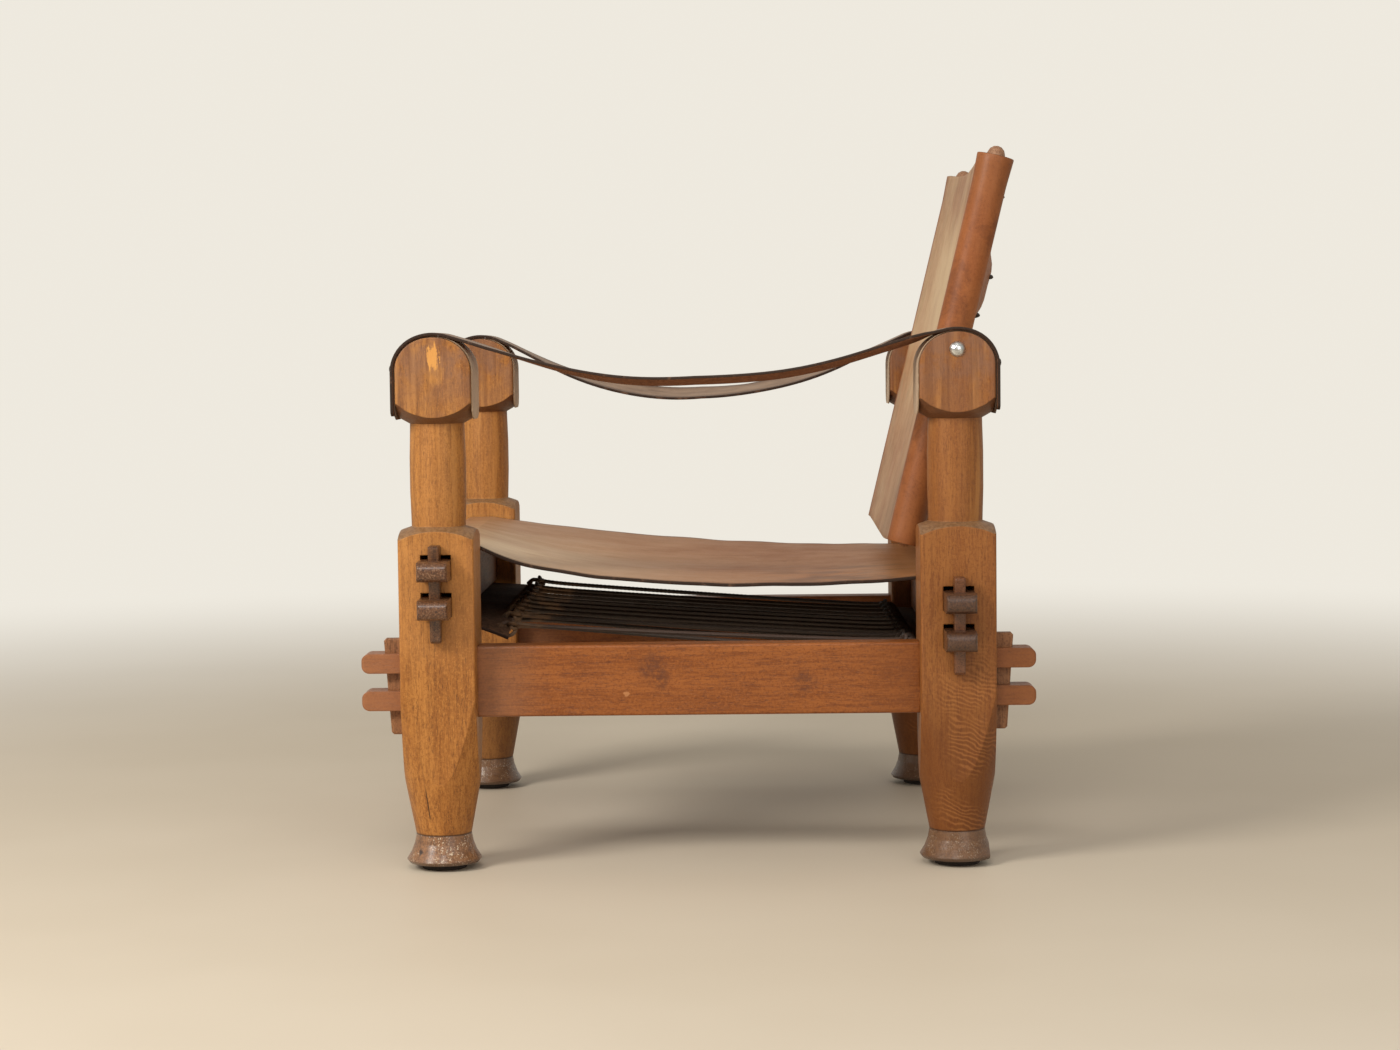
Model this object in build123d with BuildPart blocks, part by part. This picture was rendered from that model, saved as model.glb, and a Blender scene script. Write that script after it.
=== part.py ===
from build123d import *
import os
from math import atan2, cos, degrees, dist, radians, sin, sqrt, tan

# Knock-down lounge chair: four turned posts, four rails held by wedged through tenons,
# a slung leather seat and a leather back on two poles that tilt between the rear posts.
# X runs across the chair with the sitter's left at +X, the front faces -Y, +Z is up and
# the floor is at zero. All lengths are millimetres, all angles are degrees.

# Plan of the frame
post_spacing = 550
post_size = 80
post_edge_radius = 3

# Turned work on a post, from the floor up, each stretch measured from the one below
ankle_height = 38
taper_length = 152
taper_middle_rise = 74
shoulder_margin = 12.5
shoulder_face_rise = 9.5
shoulder_neck_rise = 4
neck_length = 109
head_face_rise = 6.5
head_corner_rise = 16.5
head_side_length = 68

# Radii of the turned work on a post
neck_radius = 28.8
neck_belly_radius = 30
taper_middle_radius = 43.5
ankle_radius = 29.6
turned_steps = 3

# Arched top of a post, seen from the side
head_crown_radius = 46
head_crown_angle = 25

# Feet and glides
foot_rim_radius = 40
foot_rim_height = 10.5
foot_under_radius = 37.5
foot_waist_radius = 33.5
foot_waist_height = 22
foot_back_flat = 33.5
spigot_radius = 11
spigot_length = 30
glide_radius = 24
glide_thickness = 7
glide_edge_chamfer = 1

# Rails and their double tenons
rail_height = 76
rail_thickness = 32
rail_edge_radius = 3
tenon_height = 21
tenon_pitch = 40
tenon_reach = 44
tenon_nose_radius = 9
tenon_tip_radius = 4
side_rail_height = 201.5
tenon_stack_gap = 2.5
front_rail_rise = 38.5
cross_mortise_headroom = 4.75
wood_clearance = 0.2

# Wedges, measured from the centre of their rail and from the face of their post
wedge_thickness = 11.6
wedge_rise = 46
wedge_fall = 57
wedge_top_depth = 20.6
wedge_bottom_depth = 13.6
wedge_corner_chamfer = 2.4
wedge_edge_chamfer = 1

# Leather and cord
leather_gap = 0.3
seat_leather_thickness = 4
back_leather_thickness = 3.5
strap_thickness = 3.2
pad_thickness = 1.2
cord_diameter = 4.5
cord_sides = 4
cord_turn_radius = 5
cord_lead = 30
cord_lead_share = 0.45
cord_knot_radius = 5
cord_knot_length = 8
knot_sides = 8
lace_hole_width = 7
lace_hole_sides = 6
lace_hole_margin = 10

# Seat sheet: slopes at the front rail, at the join of its two curves and at the rear rail
seat_width = 465
seat_left_slopes = (20, 6, 5.6)
seat_middle_slopes = (16, 6, 5)
seat_right_slopes = (9, 4.5, 0.5)
seat_front_flap = 54
seat_rear_flap = 39
seat_lace_runs = 10
seat_lace_edge = 25.5

# Back: two poles in the sleeves of one sheet, tilting on bolts through the rear heads
pivot_below_top = 18.5
back_recline = 13.7
pole_radius = 15
pole_inset = 62
pole_above_pivot = 224
pole_below_pivot = 220
pole_taper_length = 26
pole_tip_radius = 9.5
pole_tip_rise = 8
pole_spot_depth = 1
sleeve_top_margin = 11
sleeve_bottom_margin = 4
back_flap = 62
back_dip_angle = 4
back_lace_runs = 9
back_lace_edge = 38.5

# Arm straps: drop of the strap below the head tops, and its slope where it leaves them
strap_width = 78
pad_width = 74
strap_end_drop = 14.5
pad_end_drop = 18.5
left_strap_drop = 44
left_strap_slope = 17
right_strap_drop = 66
right_strap_slope = 24

# Pivot bolts with their spacers, washers and cap nuts
bolt_radius = 4
bolt_head_radius = 8.5
bolt_head_height = 5
bolt_hole_clearance = 0.2
pivot_running_clearance = 0.05
spacer_radius = 8
spacer_hole_clearance = 1
washer_radius = 9
washer_thickness = 1.6
nut_flats = 13
nut_height = 7
nut_cap_radius = 5.8
nut_cap_height = 5
nut_cap_chamfer = 2.5
side_play = 0.2

# Tacks that hold the strap ends
tack_below_top = 33
tack_spread = 44
tack_head_radius = 4.5
tack_head_height = 2.4
tack_shank_width = 2.1
tack_grip = 14
tack_clearance = 0.1

# Every cut runs this far past the faces that it opens
overrun = 5

# Sizes that follow from the ones above
post_reach = post_spacing / 2
post_half = post_size / 2
blank_radius = post_half * sqrt(2)
inner_face = post_reach - post_half
outer_face = post_reach + post_half
rail_half = rail_height / 2
rail_half_thickness = rail_thickness / 2
rear_rail_height = side_rail_height + tenon_pitch + tenon_height + tenon_stack_gap
front_rail_height = rear_rail_height + front_rail_rise
taper_middle_height = ankle_height + taper_middle_rise
taper_top_height = ankle_height + taper_length
shoulder_corner_height = front_rail_height + rail_half + shoulder_margin
shoulder_face_height = shoulder_corner_height + shoulder_face_rise
neck_bottom_height = shoulder_face_height + shoulder_neck_rise
neck_top_height = neck_bottom_height + neck_length
head_face_height = neck_top_height + head_face_rise
head_corner_height = head_face_height + head_corner_rise
head_top_height = head_corner_height + head_side_length
strap_end_height = head_corner_height - strap_end_drop
pad_end_height = head_corner_height - pad_end_drop
tack_height = head_top_height - tack_below_top
tack_hole_width = tack_shank_width + 2 * tack_clearance
tack_slit_width = tack_shank_width + 2 * leather_gap
haunch_radius = (post_half - head_crown_radius * sin(radians(head_crown_angle))) / (
    1 - sin(radians(head_crown_angle))
)
haunch_offset = (head_crown_radius - haunch_radius) * sin(radians(head_crown_angle))
crown_centre_height = head_top_height - head_crown_radius
haunch_height = crown_centre_height + (
    head_crown_radius - haunch_radius
) * cos(radians(head_crown_angle))

os.makedirs("parts", exist_ok=True)

sides = {"left": 1, "right": -1}
ends = {"front": -1, "rear": 1}
cross_rail_heights = {"front": front_rail_height, "rear": rear_rail_height}


def polar(centre, radius, angle):
    """Point at an angle on a circle."""
    return (
        centre[0] + radius * cos(radians(angle)),
        centre[1] + radius * sin(radians(angle)),
    )


def arc_about(centre, radius, start_angle, end_angle):
    """Arc about a centre, between two angles."""
    return ThreePointArc(
        polar(centre, radius, start_angle),
        polar(centre, radius, (start_angle + end_angle) / 2),
        polar(centre, radius, end_angle),
    )


def stepped(start, middle, end):
    """Even polyline along the arc through three points, for turned work."""
    arc = ThreePointArc(start, middle, end, mode=Mode.PRIVATE)
    Polyline(*[arc @ (step / turned_steps) for step in range(turned_steps + 1)])


def stepped_dome(base, radius, rise):
    """Domed end in its own section, from its rim to its axis."""
    ball_radius = (radius**2 + rise**2) / (2 * rise)
    rim_angle = degrees(atan2(radius, ball_radius - rise))
    middle = polar((base + rise - ball_radius, 0), ball_radius, rim_angle / 2)
    stepped((base, radius), middle, (base + rise, 0))


def finish(piece, name):
    """Label a finished piece and write it."""
    piece.part.label = name
    export_step(piece.part, f"parts/{name}.step")


# Posts: the head's arch, seen from the side, is drawn once and followed by what lies on it
def head_outline(clearance, start_height, end_height):
    """Up one side of a head, over its three-centred arch and down the other side."""
    side = post_half + clearance
    turn = 90 - head_crown_angle
    Line((-side, start_height), (-side, haunch_height))
    arc_about((-haunch_offset, haunch_height), haunch_radius + clearance, 180, 180 - turn)
    arc_about((0, crown_centre_height), head_crown_radius + clearance, 180 - turn, turn)
    arc_about((haunch_offset, haunch_height), haunch_radius + clearance, turn, 0)
    Line((side, haunch_height), (side, end_height))


def side_plane(x, y):
    """Upright plane across the chair's width through a post, with the floor at zero."""
    return Plane(origin=(x, y, 0), x_dir=(0, 1, 0), z_dir=(1, 0, 0))


def make_post(side, end):
    x = sides[side] * post_reach
    y = ends[end] * post_reach
    with BuildPart() as post:
        with BuildSketch(Plane((x, y, ankle_height))):
            RectangleRounded(post_size, post_size, post_edge_radius)
        extrude(amount=head_top_height - ankle_height)

        # turned profile: ankle, long taper, square block, shoulder, neck and head pommel
        with BuildSketch(Plane(origin=(x, y, 0), x_dir=(1, 0, 0), z_dir=(0, -1, 0))):
            with BuildLine():
                Line((0, ankle_height), (ankle_radius, ankle_height))
                stepped(
                    (ankle_radius, ankle_height),
                    (taper_middle_radius, taper_middle_height),
                    (blank_radius, taper_top_height),
                )
                Line((blank_radius, taper_top_height), (blank_radius, shoulder_corner_height))
                stepped(
                    (blank_radius, shoulder_corner_height),
                    (post_half, shoulder_face_height),
                    (neck_radius, neck_bottom_height),
                )
                stepped(
                    (neck_radius, neck_bottom_height),
                    (neck_belly_radius, (neck_bottom_height + neck_top_height) / 2),
                    (neck_radius, neck_top_height),
                )
                stepped(
                    (neck_radius, neck_top_height),
                    (post_half, head_face_height),
                    (blank_radius, head_corner_height),
                )
                Polyline(
                    (blank_radius, head_corner_height),
                    (blank_radius, head_top_height),
                    (0, head_top_height),
                    (0, ankle_height),
                )
            make_face()
        revolve(axis=Axis((x, y, 0), (0, 0, 1)), mode=Mode.INTERSECT)

        with BuildSketch(side_plane(x, y)):
            with BuildLine():
                head_outline(0, ankle_height, ankle_height)
                Line((-post_half, ankle_height), (post_half, ankle_height))
            make_face()
        extrude(amount=post_half, both=True, mode=Mode.INTERSECT)

        # two mortises for the cross rail, with headroom above each tenon
        mortise_width = rail_thickness + 2 * wood_clearance
        cross_height = tenon_height + cross_mortise_headroom + wood_clearance
        cross_centre = cross_rail_heights[end] + (cross_mortise_headroom - wood_clearance) / 2
        with BuildSketch(side_plane(x, y)):
            with Locations((0, cross_centre)):
                with GridLocations(mortise_width, tenon_pitch, 1, 2):
                    Rectangle(mortise_width, cross_height)
        extrude(amount=post_half + overrun, both=True, mode=Mode.SUBTRACT)

        # two close mortises for the side rail
        with BuildSketch(Plane(origin=(x, y, 0), x_dir=(1, 0, 0), z_dir=(0, -1, 0))):
            with Locations((0, side_rail_height)):
                with GridLocations(mortise_width, tenon_pitch, 1, 2):
                    Rectangle(mortise_width, tenon_height + 2 * wood_clearance)
        extrude(amount=post_half + overrun, both=True, mode=Mode.SUBTRACT)

        # socket for the foot's spigot
        with BuildSketch(Plane((x, y, ankle_height))):
            Circle(spigot_radius + wood_clearance)
        extrude(amount=spigot_length + wood_clearance, mode=Mode.SUBTRACT)

        # holes for the strap's tacks, on the face that looks away from the chair
        tack_face = Plane(
            origin=(x, ends[end] * outer_face, tack_height),
            x_dir=(1, 0, 0),
            z_dir=(0, -ends[end], 0),
        )
        with BuildSketch(tack_face):
            with GridLocations(tack_spread, tack_spread, 2, 1):
                Rectangle(tack_hole_width, tack_hole_width)
        extrude(amount=tack_grip, mode=Mode.SUBTRACT)

        # the rear heads are bored for the pivot bolts
        if end == "rear":
            with BuildSketch(side_plane(x, y)):
                with Locations((0, head_top_height - pivot_below_top)):
                    Circle(bolt_radius + bolt_hole_clearance)
            extrude(amount=post_half + overrun, both=True, mode=Mode.SUBTRACT)
    finish(post, f"post_{end}_{side}")


# Feet: turned separately, let into the posts; the rear ones are cut flat behind
def make_foot(side, end):
    x = sides[side] * post_reach
    y = ends[end] * post_reach
    with BuildPart() as foot:
        with BuildSketch(Plane(origin=(x, y, 0), x_dir=(1, 0, 0), z_dir=(0, -1, 0))):
            with BuildLine():
                Polyline(
                    (0, glide_thickness),
                    (foot_under_radius, glide_thickness),
                    (foot_rim_radius, foot_rim_height),
                )
                stepped(
                    (foot_rim_radius, foot_rim_height),
                    (foot_waist_radius, foot_waist_height),
                    (ankle_radius, ankle_height),
                )
                Polyline(
                    (ankle_radius, ankle_height),
                    (spigot_radius, ankle_height),
                    (spigot_radius, ankle_height + spigot_length),
                    (0, ankle_height + spigot_length),
                    (0, glide_thickness),
                )
            make_face()
        revolve(axis=Axis((x, y, 0), (0, 0, 1)))
        if end == "rear":
            flat_plane = Plane(origin=(x, y + foot_back_flat, 0), z_dir=(0, 1, 0))
            split(bisect_by=flat_plane, keep=Keep.BOTTOM)
    finish(foot, f"foot_{end}_{side}")


def make_glide(side, end):
    x = sides[side] * post_reach
    y = ends[end] * post_reach
    with BuildPart() as glide:
        with BuildSketch(Plane((x, y, 0))):
            Circle(glide_radius)
        extrude(amount=glide_thickness)
        chamfer(glide.edges().group_by(Axis.Z)[0], glide_edge_chamfer)
    finish(glide, f"glide_{end}_{side}")


# Rails: one pattern, drawn in an upright plane along the rail
def rail_plane(direction, offset, height):
    """Upright plane through a rail's centre, with x along the rail."""
    if direction == "cross":
        return Plane(origin=(0, offset, height), x_dir=(1, 0, 0), z_dir=(0, -1, 0))
    return Plane(origin=(offset, 0, height), x_dir=(0, 1, 0), z_dir=(1, 0, 0))


def make_rail(name, direction, offset, height):
    plane = rail_plane(direction, offset, height)
    with BuildPart() as rail:
        with BuildSketch(plane):
            Rectangle(2 * inner_face, rail_height)
        extrude(amount=rail_half_thickness, both=True)
        long_edges = rail.edges().filter_by(Axis(plane.origin, plane.x_dir))
        fillet(long_edges, rail_edge_radius)

        with BuildSketch(plane):
            with GridLocations(post_spacing, tenon_pitch, 1, 2):
                Rectangle(2 * (outer_face + tenon_reach), tenon_height)
            tips = vertices()
            fillet(tips, tenon_nose_radius)
        extrude(amount=rail_half_thickness, both=True)

        # upright edges of the tenon tips, eased in plan
        with BuildSketch(Plane(plane.origin, x_dir=plane.x_dir, z_dir=(0, 0, 1))):
            RectangleRounded(2 * (outer_face + tenon_reach), rail_thickness, tenon_tip_radius)
        extrude(amount=rail_height, both=True, mode=Mode.INTERSECT)

        # slots for the wedges, opened a little into the posts so that each wedge pulls tight
        with BuildSketch(plane) as slot:
            with BuildLine():
                Polyline(
                    (outer_face - overrun, wedge_rise),
                    (outer_face + wedge_top_depth + wood_clearance, wedge_rise),
                    (outer_face + wedge_bottom_depth + wood_clearance, -wedge_fall),
                    (outer_face - overrun, -wedge_fall),
                    close=True,
                )
            make_face()
            mirror(about=Plane.YZ)
        extrude(amount=wedge_thickness / 2 + wood_clearance, both=True, mode=Mode.SUBTRACT)
    finish(rail, name)


# Wedges: one beside each post at the end of each rail, driven down through both tenons
def make_wedge(name, direction, offset, height, way):
    plane = rail_plane(direction, offset, height)
    with BuildPart() as wedge:
        with BuildSketch(plane):
            with BuildLine():
                Polyline(
                    (way * (outer_face + wood_clearance), wedge_rise),
                    (way * (outer_face + wedge_top_depth), wedge_rise),
                    (way * (outer_face + wedge_bottom_depth), -wedge_fall),
                    (way * (outer_face + wood_clearance), -wedge_fall),
                    close=True,
                )
            make_face()
            chamfer(vertices(), wedge_corner_chamfer)
        extrude(amount=wedge_thickness / 2, both=True)
        side_faces = wedge.faces().filter_by(Axis(plane.origin, plane.z_dir))
        chamfer(side_faces.edges(), wedge_edge_chamfer)
    finish(wedge, name)


# Seat: one sheet over both cross rails, its flaps drawn together underneath with cord
front_corner = -(post_reach + rail_half_thickness) + rail_edge_radius
front_inner_corner = -(post_reach - rail_half_thickness) - rail_edge_radius
rear_corner = -front_corner
rear_inner_corner = -front_inner_corner
front_top = front_rail_height + rail_half - rail_edge_radius
front_bottom = front_rail_height - rail_half + rail_edge_radius
rear_top = rear_rail_height + rail_half - rail_edge_radius
rear_bottom = rear_rail_height - rail_half + rail_edge_radius
seat_middle_offset = rail_edge_radius + leather_gap + seat_leather_thickness / 2
lace_slope = degrees(atan2(front_bottom - rear_bottom, rear_inner_corner - front_corner))
lace_down = 270 - lace_slope
lace_line_start = polar((front_corner, front_bottom), seat_middle_offset, lace_down)
lace_line_end = polar((rear_inner_corner, rear_bottom), seat_middle_offset, lace_down)
lace_line_length = dist(lace_line_start, lace_line_end)
front_flap_end = seat_front_flap + rail_thickness - rail_edge_radius
rear_flap_end = lace_line_length - seat_rear_flap + rail_edge_radius


def seat_side(slopes, surface):
    """One surface of the sheet, from the front flap over both rails to the rear flap.

    surface is -1 for the side that lies on the rails and 1 for the outer side."""
    front_slope, join_slope, rear_slope = slopes
    half = seat_leather_thickness / 2
    bend = seat_middle_offset + surface * half

    def lace_point(along):
        """Point of this surface at a distance along the line of the lacing."""
        middle = polar(lace_line_start, along, -lace_slope)
        return polar(middle, surface * half, lace_down)

    # the hanging part is two arcs that meet at the join slope
    start = polar((front_inner_corner, front_top), seat_middle_offset, 90 - front_slope)
    end = polar((rear_inner_corner, rear_top), seat_middle_offset, 90 + rear_slope)
    span = end[0] - start[0]
    drop = start[1] - end[1]
    front_rate = tan(radians((front_slope + join_slope) / 2))
    rear_rate = tan(radians((join_slope - rear_slope) / 2))
    front_span = (drop - span * rear_rate) / (front_rate - rear_rate)
    front_sweep = front_span / (sin(radians(front_slope)) - sin(radians(join_slope)))
    rear_sweep = (span - front_span) / (sin(radians(join_slope)) + sin(radians(rear_slope)))
    front_centre = polar(start, front_sweep, 90 - front_slope)
    rear_centre = polar(front_centre, rear_sweep - front_sweep, 90 - join_slope)

    Line(lace_point(front_flap_end), lace_point(0))
    arc_about((front_corner, front_bottom), bend, lace_down, 180)
    Line((front_corner - bend, front_bottom), (front_corner - bend, front_top))
    arc_about((front_corner, front_top), bend, 180, 90)
    Line((front_corner, front_top + bend), (front_inner_corner, front_top + bend))
    arc_about((front_inner_corner, front_top), bend, 90, 90 - front_slope)
    arc_about(front_centre, front_sweep - surface * half, 270 - front_slope, 270 - join_slope)
    arc_about(rear_centre, rear_sweep - surface * half, 270 - join_slope, 270 + rear_slope)
    arc_about((rear_inner_corner, rear_top), bend, 90 + rear_slope, 90)
    Line((rear_inner_corner, rear_top + bend), (rear_corner, rear_top + bend))
    arc_about((rear_corner, rear_top), bend, 90, 0)
    Line((rear_corner + bend, rear_top), (rear_corner + bend, rear_bottom))
    arc_about((rear_corner, rear_bottom), bend, 0, -90)
    Line((rear_corner, rear_bottom - bend), (rear_inner_corner, rear_bottom - bend))
    arc_about((rear_inner_corner, rear_bottom), bend, -90, -90 - lace_slope)
    Line(lace_point(lace_line_length), lace_point(rear_flap_end))
    return lace_point(front_flap_end), lace_point(rear_flap_end)


seat_sections = (
    (seat_width / 2, seat_left_slopes),
    (0, seat_middle_slopes),
    (-seat_width / 2, seat_right_slopes),
)
seat_lace_span = rear_flap_end - front_flap_end + 2 * lace_hole_margin
seat_lace_pitch = (seat_width - 2 * seat_lace_edge) / (seat_lace_runs - 1)
seat_lace_middle = polar(lace_line_start, (front_flap_end + rear_flap_end) / 2, -lace_slope)
seat_lace_plane = Plane(
    origin=(0, seat_lace_middle[0], seat_lace_middle[1]),
    x_dir=(0, cos(radians(lace_slope)), -sin(radians(lace_slope))),
    z_dir=(0, sin(radians(lace_slope)), cos(radians(lace_slope))),
)

with BuildPart() as seat_leather:
    for section_x, section_slopes in seat_sections:
        with BuildSketch(side_plane(section_x, 0)):
            with BuildLine():
                inner_ends = seat_side(section_slopes, -1)
                outer_ends = seat_side(section_slopes, 1)
                Line(inner_ends[0], outer_ends[0])
                Line(inner_ends[1], outer_ends[1])
            make_face()
    loft(ruled=True)
    with BuildSketch(seat_lace_plane):
        with GridLocations(seat_lace_span, seat_lace_pitch, 2, seat_lace_runs):
            RegularPolygon(lace_hole_width / 2, lace_hole_sides, major_radius=False)
    extrude(amount=seat_leather_thickness, both=True, mode=Mode.SUBTRACT)
finish(seat_leather, "seat_leather")


# Lacing: one cord goes over the gap, down through a hole, back under the gap and up again
def lace_route(span, pitch, runs):
    """Unbroken route in the lacing's plane, with its start and end points."""
    turn_x = span / 2 - cord_turn_radius
    first_y = -pitch * (runs - 1) / 2
    shift_angle = atan2(pitch, 2 * (turn_x - cord_lead))
    shift_radius = cord_lead_share * cord_lead / tan(shift_angle / 2)
    start = (-span / 2, first_y, -cord_turn_radius)
    bend_x = turn_x + cord_turn_radius * cos(radians(45))
    bend_z = cord_turn_radius * sin(radians(45))
    Line(start, (-span / 2, first_y, 0))
    ThreePointArc(
        (-span / 2, first_y, 0),
        (-bend_x, first_y, bend_z),
        (-turn_x, first_y, cord_turn_radius),
    )
    for run in range(runs):
        y = first_y + run * pitch
        Line((-turn_x, y, cord_turn_radius), (turn_x, y, cord_turn_radius))
        if run == runs - 1:
            continue
        next_y = y + pitch
        ThreePointArc((turn_x, y, cord_turn_radius), (span / 2, y, 0), (turn_x, y, -cord_turn_radius))
        FilletPolyline(
            (turn_x, y, -cord_turn_radius),
            (turn_x - cord_lead, y, -cord_turn_radius),
            (-turn_x + cord_lead, next_y, -cord_turn_radius),
            (-turn_x, next_y, -cord_turn_radius),
            radius=shift_radius,
        )
        ThreePointArc(
            (-turn_x, next_y, -cord_turn_radius),
            (-span / 2, next_y, 0),
            (-turn_x, next_y, cord_turn_radius),
        )
    last_y = first_y + (runs - 1) * pitch
    ThreePointArc(
        (turn_x, last_y, cord_turn_radius),
        (bend_x, last_y, bend_z),
        (span / 2, last_y, 0),
    )
    end = (span / 2, last_y, -cord_turn_radius)
    Line((span / 2, last_y, 0), end)
    return start, end


def least_route_gap(route, reach):
    """Least distance between stretches of a route that lie further apart along it than a turn."""
    step = cord_diameter / 2
    count = int(route.length / step)
    points = [tuple(route.position_at(share / count)) for share in range(count + 1)]
    skip = int(reach * 2 / step)
    gap = route.length
    cells = {}
    for index, point in enumerate(points):
        home = tuple(int(value // reach) for value in point)
        near = [
            other
            for dx in (-1, 0, 1)
            for dy in (-1, 0, 1)
            for dz in (-1, 0, 1)
            for other in cells.get((home[0] + dx, home[1] + dy, home[2] + dz), [])
        ]
        for other in near:
            if index - other > skip:
                gap = min(gap, dist(point, points[other]))
        cells.setdefault(home, []).append(index)
    return gap


def make_lacing(name, plane, span, pitch, runs, sheet_thickness):
    knot_depth = sheet_thickness / 2 + leather_gap + cord_knot_length
    with BuildPart() as lacing:
        with BuildLine(plane) as route:
            route_start, route_end = lace_route(span, pitch, runs)
        cord_start = plane.from_local_coords(route_start)
        cord_end = plane.from_local_coords(route_end)
        with BuildSketch(Plane(origin=cord_start, x_dir=plane.x_dir, z_dir=plane.z_dir)):
            RegularPolygon(cord_diameter / 2, cord_sides, rotation=180 / cord_sides)
        sweep(path=route.wire())
        # a stopper knot under the flap at each end of the cord
        for cord_tip in (cord_start, cord_end):
            knot_base = cord_tip + plane.z_dir * (cord_turn_radius - knot_depth)
            with BuildSketch(Plane(origin=knot_base, x_dir=plane.x_dir, z_dir=plane.z_dir)):
                RegularPolygon(cord_knot_radius, knot_sides)
            extrude(amount=cord_knot_length)
    finish(lacing, name)
    least_gap = least_route_gap(route.wire(), 2 * cord_turn_radius) - cord_diameter
    print(f"{name}: cord {route.wire().length:.0f} mm, least gap to itself {least_gap:.2f} mm")


make_lacing(
    "seat_lacing",
    seat_lace_plane,
    seat_lace_span,
    seat_lace_pitch,
    seat_lace_runs,
    seat_leather_thickness,
)


# Back: everything here lies in the frame of the reclined poles, with its origin on the bolts
pivot_height = head_top_height - pivot_below_top
pole_direction = Vector(0, sin(radians(back_recline)), cos(radians(back_recline)))
back_normal = Vector(0, cos(radians(back_recline)), -sin(radians(back_recline)))
pivot_point = Vector(0, post_reach, pivot_height)
pole_reach = post_reach - pole_inset
spot_reach = pole_radius - pole_spot_depth
sleeve_middle_radius = pole_radius + leather_gap + back_leather_thickness / 2
sleeve_length = pole_above_pivot + pole_below_pivot - sleeve_top_margin - sleeve_bottom_margin
back_lace_pitch = (sleeve_length - 2 * back_lace_edge) / (back_lace_runs - 1)


def back_plane(x, along):
    """Plane across the poles at a distance along them from the pivot."""
    return Plane(
        origin=pivot_point + pole_direction * along + Vector(x, 0, 0),
        x_dir=(1, 0, 0),
        z_dir=pole_direction,
    )


def make_pole(side):
    x = sides[side] * pole_reach
    with BuildPart() as pole:
        length = pole_below_pivot + pole_above_pivot
        tip_ball = (pole_tip_radius**2 + pole_tip_rise**2) / (2 * pole_tip_rise)
        tip_angle = degrees(atan2(pole_tip_radius, tip_ball - pole_tip_rise))
        pole_foot = pivot_point - pole_direction * pole_below_pivot + Vector(x, 0, 0)
        with BuildSketch(Plane(origin=pole_foot, x_dir=pole_direction, z_dir=(1, 0, 0))):
            with BuildLine():
                stepped(
                    (0, 0),
                    polar((tip_ball, 0), tip_ball, 180 - tip_angle / 2),
                    (pole_tip_rise, pole_tip_radius),
                )
                Polyline(
                    (pole_tip_rise, pole_tip_radius),
                    (pole_taper_length, pole_radius),
                    (length - pole_taper_length, pole_radius),
                    (length - pole_tip_rise, pole_tip_radius),
                )
                stepped(
                    (length - pole_tip_rise, pole_tip_radius),
                    polar((length - tip_ball, 0), tip_ball, tip_angle / 2),
                    (length, 0),
                )
                Line((length, 0), (0, 0))
            make_face()
        revolve(axis=Axis(pole_foot, pole_direction))
        with BuildSketch(side_plane(x, post_reach)):
            with Locations((0, pivot_height)):
                Circle(bolt_radius + pivot_running_clearance)
        extrude(amount=pole_radius + overrun, both=True, mode=Mode.SUBTRACT)
        # flats for the spacer and the washer
        for way in (1, -1):
            with BuildSketch(side_plane(x + way * spot_reach, post_reach)):
                with Locations((0, pivot_height)):
                    Circle(washer_radius + pole_spot_depth)
            extrude(amount=way * overrun, mode=Mode.SUBTRACT)
    finish(pole, f"back_pole_{side}")


def back_side(surface):
    """One surface of the back sheet, across the chair; surface is -1 inside, 1 outside."""
    half = back_leather_thickness / 2
    bend = sleeve_middle_radius + surface * half
    tangent_x = pole_reach - sleeve_middle_radius * sin(radians(back_dip_angle))
    dip_radius = tangent_x / sin(radians(back_dip_angle))
    dip_centre = (0, dip_radius * -cos(radians(back_dip_angle))
                  - sleeve_middle_radius * cos(radians(back_dip_angle)))
    flap_edge = pole_reach - back_flap
    for way in (1, -1):
        centre = (way * pole_reach, 0)
        Line((way * flap_edge, bend), (way * pole_reach, bend))
        if way == 1:
            arc_about(centre, bend, 90, -90 - back_dip_angle)
        else:
            arc_about(centre, bend, 90, 270 + back_dip_angle)
    arc_about(dip_centre, dip_radius - surface * half, 90 - back_dip_angle, 90 + back_dip_angle)
    return flap_edge, bend


with BuildPart() as back_leather:
    with BuildSketch(back_plane(0, sleeve_bottom_margin - pole_below_pivot)):
        with BuildLine():
            flap_edge, inner_level = back_side(-1)
            flap_edge, outer_level = back_side(1)
            for way in (1, -1):
                Line((way * flap_edge, inner_level), (way * flap_edge, outer_level))
        make_face()
    extrude(amount=sleeve_length)
    # the spacers pass through the outer side of each sleeve
    for way in (1, -1):
        with BuildSketch(side_plane(way * pole_reach, post_reach)):
            with Locations((0, pivot_height)):
                Circle(spacer_radius + spacer_hole_clearance)
        extrude(amount=way * (pole_radius + back_leather_thickness + overrun), mode=Mode.SUBTRACT)
    back_lace_plane = Plane(
        origin=pivot_point + back_normal * sleeve_middle_radius,
        x_dir=(1, 0, 0),
        z_dir=back_normal,
    )
    back_lace_span = 2 * (flap_edge + lace_hole_margin)
    with BuildSketch(back_lace_plane):
        with GridLocations(back_lace_span, back_lace_pitch, 2, back_lace_runs):
            RegularPolygon(lace_hole_width / 2, lace_hole_sides, major_radius=False)
    extrude(amount=back_leather_thickness, both=True, mode=Mode.SUBTRACT)
finish(back_leather, "back_leather")

make_lacing(
    "back_lacing",
    back_lace_plane,
    back_lace_span,
    back_lace_pitch,
    back_lace_runs,
    back_leather_thickness,
)


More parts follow.
